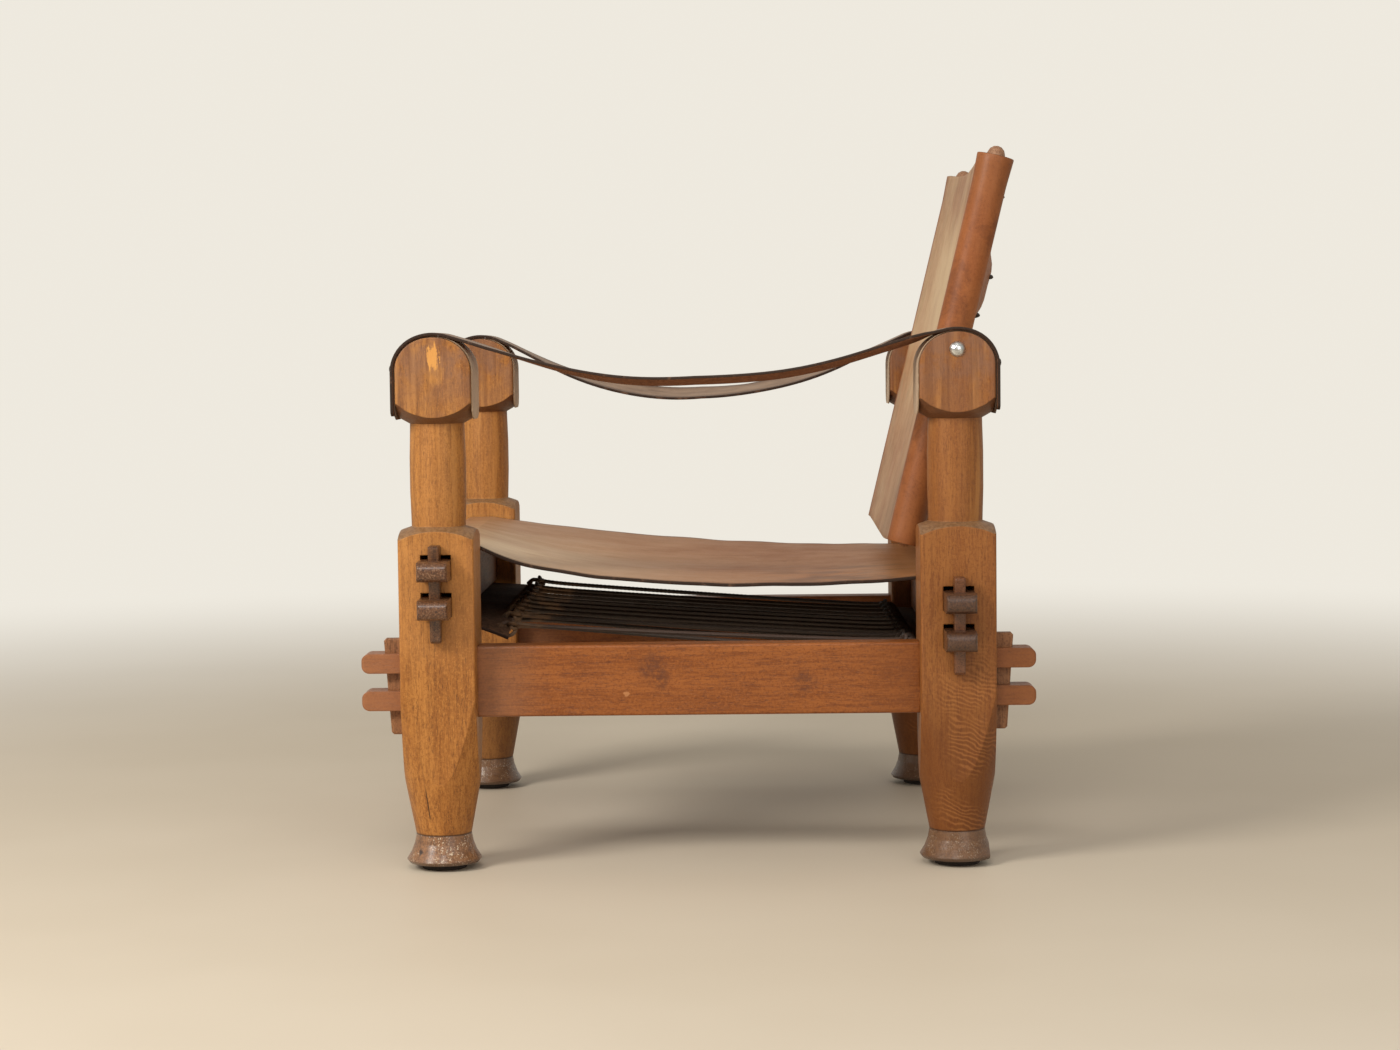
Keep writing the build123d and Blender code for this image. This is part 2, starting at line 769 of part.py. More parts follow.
# Pivot hardware: a domed bolt through the head, a spacer, the pole, a washer and a cap nut
def make_pivot(side):
    way = sides[side]
    spacer_end = pole_reach + spot_reach + side_play
    washer_start = pole_reach - spot_reach - side_play
    nut_start = washer_start - washer_thickness
    bolt_origin = (0, post_reach, pivot_height)

    def cross_section(x):
        """Plane square to the bolt, looking away from the chair's middle."""
        return Plane(origin=(way * x, post_reach, pivot_height), x_dir=(0, 1, 0), z_dir=(way, 0, 0))

    with BuildPart() as bolt:
        with BuildSketch(cross_section(nut_start - nut_height)):
            Circle(bolt_radius)
        extrude(amount=outer_face - nut_start + nut_height)
        with BuildSketch(Plane(origin=bolt_origin, x_dir=(way, 0, 0), z_dir=(0, -way, 0))):
            with BuildLine():
                Line((outer_face, 0), (outer_face, bolt_head_radius))
                stepped_dome(outer_face, bolt_head_radius, bolt_head_height)
                Line((outer_face + bolt_head_height, 0), (outer_face, 0))
            make_face()
        revolve(axis=Axis(bolt_origin, (1, 0, 0)))
    finish(bolt, f"pivot_bolt_{side}")

    with BuildPart() as spacer:
        with BuildSketch(cross_section(spacer_end)):
            Circle(spacer_radius)
            Circle(bolt_radius + bolt_hole_clearance, mode=Mode.SUBTRACT)
        extrude(amount=inner_face - spacer_end)
    finish(spacer, f"pivot_spacer_{side}")

    with BuildPart() as washer:
        with BuildSketch(cross_section(nut_start)):
            Circle(washer_radius)
            Circle(bolt_radius + bolt_hole_clearance, mode=Mode.SUBTRACT)
        extrude(amount=washer_thickness)
    finish(washer, f"pivot_washer_{side}")

    with BuildPart() as nut:
        with BuildSketch(cross_section(nut_start - nut_height)):
            RegularPolygon(nut_flats / 2, 6, major_radius=False)
        extrude(amount=nut_height)
        with BuildSketch(cross_section(nut_start - nut_height)):
            Circle(nut_cap_radius)
        extrude(amount=-nut_cap_height)
        cap_rims = nut.edges().filter_by(GeomType.CIRCLE).sort_by(Axis.X)
        chamfer(cap_rims[0] if way == 1 else cap_rims[-1], nut_cap_chamfer)
        with BuildSketch(cross_section(nut_start)):
            Circle(bolt_radius + pivot_running_clearance)
        extrude(amount=-nut_height - pivot_running_clearance, mode=Mode.SUBTRACT)
    finish(nut, f"cap_nut_{side}")


# Pads: a thin strip of leather over each head, under the strap
def make_pad(side, end):
    x = sides[side] * post_reach
    y = ends[end] * post_reach
    with BuildPart() as pad:
        with BuildSketch(side_plane(x, y)):
            with BuildLine():
                head_outline(leather_gap, pad_end_height, pad_end_height)
                head_outline(leather_gap + pad_thickness, pad_end_height, pad_end_height)
                for way in (1, -1):
                    Line(
                        (way * (post_half + leather_gap), pad_end_height),
                        (way * (post_half + leather_gap + pad_thickness), pad_end_height),
                    )
            make_face()
        extrude(amount=pad_width / 2, both=True)
        pad_face = Plane(origin=(x, y, tack_height), x_dir=(1, 0, 0), z_dir=(0, ends[end], 0))
        with BuildSketch(pad_face):
            with GridLocations(tack_spread, tack_spread, 2, 1):
                Rectangle(tack_slit_width, tack_slit_width)
        extrude(amount=post_half + pad_thickness + overrun, mode=Mode.SUBTRACT)
    finish(pad, f"head_pad_{end}_{side}")


# Arm straps: down the front face, over both heads with a sag between them, down behind
strap_inner_gap = leather_gap + pad_thickness + leather_gap
strap_outer_gap = strap_inner_gap + strap_thickness
strap_middle_gap = strap_inner_gap + strap_thickness / 2


def strap_side(drop, slope, surface):
    """One surface of a strap; surface is -1 for the underside and 1 for the top."""
    half = strap_thickness / 2
    gap = strap_middle_gap + surface * half
    middle_radius = head_crown_radius + strap_middle_gap
    lowest = head_top_height - drop - half
    run = post_reach - middle_radius * sin(radians(slope))
    fall = crown_centre_height + middle_radius * cos(radians(slope)) - lowest
    sag_radius = (run * tan(radians(slope)) - fall) / (
        tan(radians(slope)) * sin(radians(slope)) - 1 + cos(radians(slope))
    )
    sag_centre = (0, lowest + sag_radius)
    sag_surface = sag_radius - surface * half
    turn = 90 - head_crown_angle
    arc_about(sag_centre, sag_surface, 270 - slope, 270 + slope)
    for way in (1, -1):
        crown_centre = (way * post_reach, crown_centre_height)
        haunch_centre = (way * (post_reach + haunch_offset), haunch_height)
        crown_gap_radius = head_crown_radius + gap
        haunch_gap_radius = haunch_radius + gap
        leave = 90 + way * slope
        crest = turn if way == 1 else 180 - turn
        foot_angle = 0 if way == 1 else 180
        sag_end = polar(sag_centre, sag_surface, 270 + way * slope)
        Line(sag_end, polar(crown_centre, crown_gap_radius, leave))
        arc_about(crown_centre, crown_gap_radius, leave, crest)
        arc_about(haunch_centre, haunch_gap_radius, crest, foot_angle)
        end_y = way * (outer_face + gap)
        Line((end_y, haunch_height), (end_y, strap_end_height))


def make_strap(side, drop, slope):
    x = sides[side] * post_reach
    with BuildPart() as strap:
        with BuildSketch(side_plane(x, 0)):
            with BuildLine():
                strap_side(drop, slope, -1)
                strap_side(drop, slope, 1)
                for way in (1, -1):
                    Line(
                        (way * (outer_face + strap_inner_gap), strap_end_height),
                        (way * (outer_face + strap_outer_gap), strap_end_height),
                    )
            make_face()
        extrude(amount=strap_width / 2, both=True)
        for way in (1, -1):
            strap_face = Plane(
                origin=(x, way * outer_face, tack_height),
                x_dir=(1, 0, 0),
                z_dir=(0, way, 0),
            )
            with BuildSketch(strap_face):
                with GridLocations(tack_spread, tack_spread, 2, 1):
                    Rectangle(tack_slit_width, tack_slit_width)
            extrude(amount=strap_outer_gap + overrun, mode=Mode.SUBTRACT)
    finish(strap, f"arm_strap_{side}")


# Tacks: a pair with square shanks through each strap end and its pad into the post
def make_tacks(side, end):
    way = ends[end]
    head_seat = Plane(
        origin=(
            sides[side] * post_reach,
            way * (outer_face + strap_outer_gap + tack_clearance),
            tack_height,
        ),
        x_dir=(1, 0, 0),
        z_dir=(0, way, 0),
    )
    with BuildPart() as tacks:
        with BuildSketch(head_seat):
            with GridLocations(tack_spread, tack_spread, 2, 1):
                Circle(tack_head_radius)
        extrude(amount=tack_head_height)
        with BuildSketch(head_seat):
            with GridLocations(tack_spread, tack_spread, 2, 1):
                Rectangle(tack_shank_width, tack_shank_width)
        extrude(amount=-(strap_outer_gap + tack_clearance + tack_grip - wood_clearance))
    finish(tacks, f"strap_tacks_{end}_{side}")


for side in sides:
    for end in ends:
        make_post(side, end)
        make_foot(side, end)
        make_glide(side, end)
        make_pad(side, end)
        make_tacks(side, end)
        make_wedge(
            f"wedge_{end}_rail_{side}",
            "cross",
            ends[end] * post_reach,
            cross_rail_heights[end],
            sides[side],
        )
        make_wedge(
            f"wedge_{side}_rail_{end}",
            "side",
            sides[side] * post_reach,
            side_rail_height,
            ends[end],
        )
    make_rail(f"rail_{side}", "side", sides[side] * post_reach, side_rail_height)
    make_pole(side)
    make_pivot(side)

for end in ends:
    make_rail(f"rail_{end}", "cross", ends[end] * post_reach, cross_rail_heights[end])

make_strap("left", left_strap_drop, left_strap_slope)
make_strap("right", right_strap_drop, right_strap_slope)
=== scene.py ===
from math import atan2, cos, degrees, dist, pi, radians, sin, sqrt, tan

import bpy
from mathutils import Matrix, Vector, noise


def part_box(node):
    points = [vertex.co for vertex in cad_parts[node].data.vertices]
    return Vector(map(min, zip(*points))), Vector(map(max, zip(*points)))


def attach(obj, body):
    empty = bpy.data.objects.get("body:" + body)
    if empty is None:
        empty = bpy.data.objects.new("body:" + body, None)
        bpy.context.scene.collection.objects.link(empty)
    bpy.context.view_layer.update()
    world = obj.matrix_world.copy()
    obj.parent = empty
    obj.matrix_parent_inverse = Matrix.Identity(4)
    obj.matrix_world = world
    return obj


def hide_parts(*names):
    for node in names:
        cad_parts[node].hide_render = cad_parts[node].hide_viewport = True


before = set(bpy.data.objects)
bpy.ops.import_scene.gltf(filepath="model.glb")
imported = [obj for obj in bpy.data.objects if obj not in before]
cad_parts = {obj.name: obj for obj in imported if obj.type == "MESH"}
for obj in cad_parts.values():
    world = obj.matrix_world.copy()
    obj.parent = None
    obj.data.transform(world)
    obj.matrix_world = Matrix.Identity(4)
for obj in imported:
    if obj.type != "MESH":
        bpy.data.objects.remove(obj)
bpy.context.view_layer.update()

# Camera: side on to the chair from just over three metres, at the height of the arms and
# looking a touch down, as a long portrait lens on a low tripod sees it.
view_point = Vector((3.21026, 0.04349, 0.55323))
view_yaw = radians(0.7835)
view_pitch = radians(3.6675)
view_roll = radians(-0.6580)
lens_length = 71.03
sensor_width = 36

ahead = Vector(
    (-cos(view_pitch) * cos(view_yaw), -cos(view_pitch) * sin(view_yaw), -sin(view_pitch))
)
level_right = ahead.cross(Vector((0, 0, 1))).normalized()
level_up = level_right.cross(ahead)
view_right = cos(view_roll) * level_right + sin(view_roll) * level_up
view_up = -sin(view_roll) * level_right + cos(view_roll) * level_up
view_turn = Matrix((view_right, view_up, -ahead)).transposed().to_4x4()
camera_data = bpy.data.cameras.new("view")
camera_data.lens = lens_length
camera_data.sensor_width = sensor_width
camera_data.sensor_fit = "HORIZONTAL"
camera = bpy.data.objects.new("view", camera_data)
camera.matrix_world = Matrix.Translation(view_point) @ view_turn
bpy.context.scene.collection.objects.link(camera)
bpy.context.scene.camera = camera


# Posts: four turned legs of an open-pored brown hardwood, each from one square blank, oiled
# and handled for years. The grain runs up the post, so it is end grain on the shoulders.
class Signal:
    """One output socket of a material, so that its maths reads as plain expressions."""

    def __init__(self, tree, socket):
        self.tree = tree
        self.socket = socket

    def node(self, kind, inputs, output=0, **settings):
        """Add a node, set it, fill its inputs by name or number and return one output."""
        made = self.tree.nodes.new("ShaderNode" + kind)
        for setting, value in settings.items():
            setattr(made, setting, value)
        for key, value in inputs.items():
            if isinstance(value, Signal):
                self.tree.links.new(value.socket, made.inputs[key])
            elif value is not None:
                made.inputs[key].default_value = value
        return Signal(self.tree, made.outputs[output])

    def combine(self, operation, first, second):
        kind = "VectorMath" if self.socket.type == "VECTOR" else "Math"
        return self.node(kind, {0: first, 1: second}, operation=operation)

    def __add__(self, other):
        return self.combine("ADD", self, other)

    def __radd__(self, other):
        return self.combine("ADD", other, self)

    def __sub__(self, other):
        return self.combine("SUBTRACT", self, other)

    def __rsub__(self, other):
        return self.combine("SUBTRACT", other, self)

    def __mul__(self, other):
        return self.combine("MULTIPLY", self, other)

    def __rmul__(self, other):
        return self.combine("MULTIPLY", other, self)

    def wave(self):
        return self.node("Math", {0: self}, operation="SINE")

    def size(self):
        return self.node("Math", {0: self}, operation="ABSOLUTE")

    def length(self):
        return self.node("VectorMath", {0: self}, output="Value", operation="LENGTH")

    def part(self, axis):
        """One coordinate of a vector."""
        return self.node("SeparateXYZ", {0: self}, output="XYZ".index(axis))

    def noise(self, scale, detail=2, rough=0.5, twist=0):
        """Noise between about 0.2 and 0.8 at so many cells a metre."""
        values = {"Vector": self, "Scale": scale, "Detail": detail, "Roughness": rough}
        values["Distortion"] = twist
        return self.node("TexNoise", values)

    def between(self, low, high):
        """0 below low, 1 above high and smooth in between; low may be the larger."""
        values = {"Value": self, "From Min": low, "From Max": high}
        return self.node("MapRange", values, interpolation_type="SMOOTHSTEP")

    def mix(self, off, on):
        """One colour where the mask is 0, the other where it is 1."""
        pair = [c if isinstance(c, Signal) else (*c, 1) for c in (off, on)]
        return self.node("Mix", {0: self, 6: pair[0], 7: pair[1]}, output=2, data_type="RGBA")

    def under(self, *layers):
        """This colour with others laid over it in turn; each layer is a mask and a colour."""
        colour = self
        for mask, laid in layers:
            colour = mask.mix(colour, laid)
        return colour

    def near(self, point, inner, outer):
        """1 within inner metres of a point, 0 beyond outer."""
        return (self - tuple(point)).length().between(outer, inner)

    def raised(self, strength, distance, normal=None):
        """Surface direction where this height stands so far out in metres."""
        values = {"Strength": strength, "Distance": distance, "Height": self, "Normal": normal}
        return self.node("Bump", values)


def start_finish(name, **constants):
    """New material: the material, its shader and its coordinates in metres."""
    material = bpy.data.materials.new(name)
    material.use_nodes = True
    tree = material.node_tree
    shader = tree.nodes["Principled BSDF"]
    for socket, value in constants.items():
        shader.inputs[socket.replace("_", " ")].default_value = value
    place = Signal(tree, tree.nodes.new("ShaderNodeTexCoord").outputs["Object"])
    return material, shader, place


def settle(shader, **signals):
    """Feed signals to the shader's sockets of those names."""
    for socket, signal in signals.items():
        signal.tree.links.new(signal.socket, shader.inputs[socket.replace("_", " ")])


def facing(place):
    """Direction of the flat face, before any smoothing."""
    return place.node("NewGeometry", {}, output="True Normal")


def softened(place, radius):
    """Surface direction with arrises rounded over, and how much each place was rounded."""
    soft = place.node("Bevel", {"Radius": radius}, samples=6)
    values = {0: soft, 1: facing(place)}
    turn = place.node("VectorMath", values, output="Value", operation="DOT_PRODUCT")
    return soft, 1 - turn


middle_band = 0.10


def rearward(place):
    """0 at the front of the chair and 1 at its rear."""
    return place.part("Y").between(-middle_band, middle_band)


def rightward(place):
    """0 on the sitter's left and 1 on the right, which is the far side in the picture."""
    return place.part("X").between(middle_band, -middle_band)


def along_grain(place, grain_axis, share):
    """Place squeezed along the grain, so that what is drawn on it becomes long."""
    stretch = [share if axis == grain_axis else 1.0 for axis in "XYZ"]
    return place * tuple(stretch)


fibre_stretch = 0.05
pore_stretch = 0.11
arris_radius = 0.0022


def wood_finish(
    name,
    grain_axis,
    colours,
    pore_share=0.6,
    rough=0.44,
    extra=None,
    sheen=0.12,
    relief=0.0006,
    polish=None,
):
    """Oiled wood with its grain along one axis; colours run from pale through to dark."""
    pale, middle, dark, pore = colours
    material, shader, place = start_finish(
        name, Coat_Roughness=0.24, Coat_IOR=1.5, Specular_IOR_Level=0.30
    )
    fibre = along_grain(place, grain_axis, fibre_stretch)
    sway = (fibre.noise(30, 1) - 0.5) * 0.010
    fibre = fibre + fibre.node("CombineXYZ", {0: sway, 1: sway, 2: sway * fibre_stretch})
    streak = fibre.noise(240, 4, 0.66)
    fine = fibre.noise(700, 2, 0.6)
    short_fibre = along_grain(place, grain_axis, pore_stretch)
    pores = short_fibre.noise(1500, 1, 0.5).between(0.58, 0.68) * streak.between(0.36, 0.56)
    lines = short_fibre.noise(520, 2, 0.6, 0.3).between(0.56, 0.64)
    speckle = place.noise(360, 3, 0.8)
    cloud = place.noise(11, 3, 0.6)
    soft, rounded = softened(place, arris_radius)
    worn = rounded.between(0.02, 0.16) * place.noise(60, 3).between(0.36, 0.6)
    colour = fibre.noise(46, 3, 0.6).between(0.34, 0.66).mix(middle, pale)
    colour = colour.under(
        (streak.between(0.46, 0.68) * 0.70, dark),
        (cloud.between(0.50, 0.74) * 0.40, dark),
        (fine.between(0.50, 0.72) * 0.42, pale),
        (fine.between(0.48, 0.30) * 0.42, dark),
        (speckle.between(0.53, 0.62) * 0.62, pale),
        (speckle.between(0.47, 0.37) * 0.62, dark),
        (lines * 0.44, dark),
        (pores * pore_share, pore),
        (worn * 0.5, pale),
    )
    coat = cloud.between(0.3, 0.7) * sheen
    settle(
        shader,
        Base_Color=extra(place, colour, fibre) if extra else colour,
        Roughness=rough - 0.10 * cloud + 0.14 * fine + 0.12 * pores,
        Coat_Weight=coat + polish(place) if polish else coat,
        Normal=(streak * 0.35 + fine * 0.35 - pores * 0.9).raised(0.4, relief, soft),
    )
    return material


def paint(node, material):
    """Give a CAD node one material."""
    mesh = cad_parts[node].data
    mesh.materials.clear()
    mesh.materials.append(material)


sides = {"left": 1, "right": -1}
ends = {"front": -1, "rear": 1}
corners = [(end, side) for side in sides for end in ends]
post_low, post_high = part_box("post_front_left")
post_reach = (post_low.x + post_high.x) / 2
post_half = (post_high.x - post_low.x) / 2
outer_face = post_reach + post_half
head_top = post_high.z
taper_height = 0.20
shoulder_height = 0.34
head_foot = 0.47
post_colours = (
    (0.475, 0.198, 0.044),
    (0.365, 0.138, 0.027),
    (0.225, 0.075, 0.014),
    (0.085, 0.028, 0.009),
)
scuff_point = (outer_face, -0.275, 0.548)
scuffs = ((0.0, 0.0074, 0.85), (0.0165, 0.0110, 0.34))
scuff_ragged = 0.0012
crack_spot = -0.2878
crack_height = 0.07
ripple_rate = 1250


def post_marks(place, colour, fibre):
    """Grey end grain on the shoulders, painted shade under the heads, darker rear posts, a scuff
    on one head, rippled grain.
    """
    depth = place.part("Y")
    height = place.part("Z")
    back = rearward(place)
    front = 1 - back
    block = height.between(taper_height, 0.27) * height.between(0.365, shoulder_height)
    neck = height.between(shoulder_height, 0.380) * height.between(0.560, head_foot)
    shade = place.noise(5, 2).between(0.3, 0.7)
    flames = fibre.noise(75, 3, 0.6).between(0.52, 0.66) * height.between(0.33, 0.36)
    low = height.between(0.22, 0.12)
    slant = (depth + (height - crack_height) * 0.12 - crack_spot).size()
    crack = slant.between(0.0010, 0.0004) * height.between(0.150, 0.085)
    crack = crack * height.between(0.054, 0.060)
    ripple = (height * ripple_rate + depth * 420 + place.noise(45, 2) * 22).wave()
    curl = height.between(0.262, 0.215) * back * place.noise(26, 3).between(0.42, 0.60)
    curl = curl * depth.between(post_reach - 0.034, post_reach - 0.004)
    upward = facing(place).part("Z")
    speckle = place.noise(300, 3).between(0.35, 0.65)
    grey = speckle.mix((0.155, 0.088, 0.042), (0.27, 0.16, 0.082))
    # Faces that look down under the heads are painted dark: painted shade.
    painted_shade_beneath = upward.between(-0.12, -0.45) * height.between(0.44, head_foot)
    seam = height.between(post_low.z + 0.0022, post_low.z + 0.0004)
    colour = colour.under(
        (block * front * 0.26, (0.66, 0.305, 0.098)),
        (neck * (0.10 + 0.04 * front), (0.54, 0.275, 0.100)),
        (back * (0.50 + 0.18 * shade), (0.168, 0.047, 0.013)),
        (flames * 0.46, (0.560, 0.255, 0.070)),
        (low * back * 0.58, (0.115, 0.028, 0.001)),
        (low * rightward(place) * front * 0.50, (0.135, 0.060, 0.024)),
        (crack * (0.30 + 0.6 * height.between(0.095, 0.080)), (0.055, 0.020, 0.008)),
        (ripple.between(0.0, 0.9) * curl * 0.34, (0.420, 0.165, 0.048)),
        (ripple.between(0.0, -0.9) * curl * 0.26, (0.110, 0.032, 0.008)),
        (upward.between(0.35, 0.75) * 0.75, grey),
        (painted_shade_beneath * 0.80, (0.095, 0.036, 0.014)),
        (seam * 0.75, (0.050, 0.020, 0.009)),
    )
    torn = (fibre.noise(420, 3, 0.7) - 0.5) * 0.030 + (place.noise(300, 4, 0.8) - 0.5) * 0.014
    scuff = 0
    for drop, reach, strength in scuffs:
        spot = place - (scuff_point[0], scuff_point[1] + drop * 0.2, scuff_point[2] - drop)
        away = (spot * (1.0, 1.25, 0.72)).length() + torn
        bare = away.between(reach + scuff_ragged, reach - scuff_ragged) * strength
        colour = bare.mix(colour, (0.70, 0.330, 0.085))
        scuff = scuff + bare
    heads = height.between(head_foot, 0.485)
    whole = scuff.between(0.8, 0.2)
    cloudy = place.noise(38, 3, 0.6).between(0.28, 0.60)
    crown = heads * (0.35 + 0.65 * height.between(0.490, 0.540)) * cloudy * whole
    stripes = heads * fibre.noise(95, 3, 0.6).between(0.46, 0.62) * whole
    return colour.under(
        (crown * 0.62, (0.228, 0.121, 0.079)), (stripes * 0.42, (0.150, 0.054, 0.020))
    )


post_wood = wood_finish("oiled_post_wood", "Z", post_colours, extra=post_marks)
for end, side in corners:
    paint(f"post_{end}_{side}", post_wood)


# Feet and glides: the feet are separate turned blocks, dry and scratched from the floor, with
# a felt-dark glide under each.
knot_point = (0.303, -0.299, 0.022)


def foot_marks(place, colour, fibre):
    """Dry grey-brown skin, with fine pale specks round the foot painted as glints of light."""
    height = place.part("Z")
    dust = (place * (1.0, 1.0, 6.0)).noise(70, 4, 0.7).between(0.42, 0.66)
    # Pale specks: painted glints of light on the foot's gloss.
    painted_foot_glints = place.noise(560, 2).between(0.57, 0.65) * place.noise(60, 2).between(0.42, 0.56)
    knot = (place + (place.noise(200, 2) - 0.5) * 0.007).near(knot_point, 0.0030, 0.0056)
    return colour.under(
        (dust * 0.55, (0.312, 0.153, 0.062)),
        (painted_foot_glints * 0.8, (0.70, 0.55, 0.39)),
        (place.noise(420, 3, 0.7).between(0.46, 0.36) * 0.6, (0.080, 0.038, 0.020)),
        (knot * 0.95, (0.030, 0.016, 0.013)),
        (height.between(post_low.z - 0.0016, post_low.z - 0.0002) * 0.7, (0.050, 0.022, 0.012)),
        (rearward(place) * 0.62, (0.095, 0.045, 0.020)),
        (rightward(place) * 0.50, (0.105, 0.056, 0.030)),
        (height.between(0.014, 0.007) * 0.7, (0.075, 0.043, 0.026)),
    )


foot_colours = (
    (0.320, 0.150, 0.064),
    (0.230, 0.100, 0.040),
    (0.110, 0.045, 0.019),
    (0.050, 0.020, 0.010),
)
foot_wood = wood_finish(
    "scuffed_foot_wood", "Z", foot_colours, 0.7, 0.40, foot_marks, sheen=1.0, relief=0.0034
)

glide_finish, glide_shader, place = start_finish("dark_glide")
fuzz = place.noise(900, 3, 0.7)
settle(
    glide_shader,
    Base_Color=fuzz.between(0.3, 0.7).mix((0.018, 0.012, 0.009), (0.05, 0.036, 0.027)),
    Roughness=0.75 + 0.2 * fuzz,
    Normal=fuzz.raised(0.5, 0.0005),
)
for end, side in corners:
    paint(f"foot_{end}_{side}", foot_wood)
    paint(f"glide_{end}_{side}", glide_finish)


# Rails: four planks of a redder wood with softened edges. Each ends in two tenons with
# rounded noses, which pass through the post; on the cross rails these have gone dark.
plank_face = post_reach + 0.016
rail_colours = (
    (0.335, 0.108, 0.024),
    (0.262, 0.078, 0.015),
    (0.165, 0.043, 0.009),
    (0.080, 0.022, 0.007),
)
dark_oil = (0.105, 0.042, 0.016)
brown_oil = (0.400, 0.160, 0.068)
smudge_spots = ((-0.049, 0.215, 0.024), (-0.040, 0.200, 0.016), (0.113, 0.199, 0.017))
chip_spot = (-0.077, 0.187)


def tenon_marks(axis, depth, oil, fleck_and_glint_share):
    """Oil, dark flecks and painted glints on whatever stands outside the posts, and smudges on the
    plank.
    """

    def marks(place, colour, fibre):
        along = place.part(axis)
        outside = along.size().between(outer_face - 0.006, outer_face + 0.002)
        ragged = place.noise(130, 4, 0.7).between(0.34, 0.62)
        for spot_y, spot_z, reach in smudge_spots:
            smudge = place.near((plank_face, spot_y, spot_z), reach * 0.2, reach) * ragged
            colour = (smudge * 0.75).mix(colour, (0.105, 0.034, 0.016))
        warped = place + (place.noise(190, 2) - 0.5) * 0.006
        chip = warped.near((plank_face, *chip_spot), 0.0024, 0.0036)
        rear = rearward(place)
        flecks_and_glints = place.noise(520, 3, 0.7)
        marked = outside * fleck_and_glint_share
        # Pale flecks on the noses are painted glints of light.
        painted_nose_glints = marked * flecks_and_glints.between(0.55, 0.63) * (1 - 0.8 * rear)
        return colour.under(
            (chip * 0.7, (0.50, 0.22, 0.085)),
            # Greyer towards the plank's negative end; darker towards its positive end, which is
            # painted shade where the plank runs into the post.
            (along.between(-0.150, -0.215) * 0.46, (0.25, 0.120, 0.064)),
            (along.between(0.150, 0.225) * 0.40, (0.165, 0.046, 0.005)),
            (outside * depth, oil),
            (marked * rear * 0.55, (0.040, 0.018, 0.011)),
            (marked * flecks_and_glints.between(0.47, 0.40) * 0.8, (0.026, 0.011, 0.007)),
            (painted_nose_glints * 0.55, (0.340, 0.205, 0.120)),
        )

    return marks


def nose_polish(place):
    """The parts outside the posts are polished by hands."""
    return place.part("X").size().between(outer_face - 0.002, outer_face + 0.001) * 0.7


cross_marks = tenon_marks("X", 0.86, dark_oil, 1.0)
side_marks = tenon_marks("Y", 0.34, brown_oil, 0.12)
cross_wood = wood_finish(
    "oiled_cross_rail_wood", "X", rail_colours, 0.5, 0.44, cross_marks, 0.02, 0.0018, nose_polish
)
side_wood = wood_finish("oiled_side_rail_wood", "Y", rail_colours, 0.45, 0.40, side_marks)
for end in ends:
    paint(f"rail_{end}", cross_wood)
for side in sides:
    paint(f"rail_{side}", side_wood)


# Wedges: thin tapered keys of dark dense wood, driven down through each pair of tenons and
# polished by handling.
wedge_colours = (
    (0.182, 0.071, 0.024),
    (0.100, 0.035, 0.011),
    (0.048, 0.018, 0.008),
    (0.020, 0.008, 0.005),
)
side_wedge_colours = (
    (0.340, 0.155, 0.068),
    (0.240, 0.102, 0.042),
    (0.120, 0.047, 0.020),
    (0.055, 0.020, 0.010),
)


def wedge_marks(place, colour, fibre):
    """Dark dents left by the mallet and by hands, and pale flecks painted as glints of light."""
    rear = rearward(place)
    dents_and_glints = (place * (1.0, 1.0, 1.6)).noise(400, 4, 0.8)
    return colour.under(
        (rear * 0.75, (0.185, 0.066, 0.026)),
        (dents_and_glints.between(0.48, 0.40) * 0.7, (0.026, 0.010, 0.005)),
        # Pale flecks: painted glints of light.
        (dents_and_glints.between(0.55, 0.64) * (0.5 - 0.35 * rear), (0.325, 0.172, 0.082)),
    )


wedge_wood = wood_finish(
    "dark_wedge_wood", "Z", wedge_colours, 0.7, 0.34, wedge_marks, sheen=0.8, relief=0.0026
)
side_wedge_wood = wood_finish("brown_wedge_wood", "Z", side_wedge_colours, 0.6, 0.40)
for end, side in corners:
    paint(f"wedge_{end}_rail_{side}", wedge_wood)
    paint(f"wedge_{side}_rail_{end}", side_wedge_wood)


# Seat: one hide of bridle leather over both cross rails, its flaps drawn together underneath.
# It is 4 mm thick, cut with burnished edges and stretched by use.
def bow(centre, radius, first, last, count):
    """Points along an arc in a plane, without its first point; angles in degrees."""
    turns = [radians(first + (last - first) * step / count) for step in range(1, count + 1)]
    return [(centre[0] + radius * cos(a), centre[1] + radius * sin(a)) for a in turns]


def straight(start, end, count):
    """Points along a straight run, without its first point."""
    shares = [step / count for step in range(1, count + 1)]
    return [
        (start[0] + (end[0] - start[0]) * s, start[1] + (end[1] - start[1]) * s) for s in shares
    ]


def trace(start, *steps):
    """Points along a line; each step is a straight run's end and count, or a bow's values."""
    points = [start]
    for step in steps:
        points += straight(points[-1], *step) if len(step) == 2 else bow(*step)
    return points


def turned(centre, radius, angle):
    return (centre[0] + radius * cos(radians(angle)), centre[1] + radius * sin(radians(angle)))


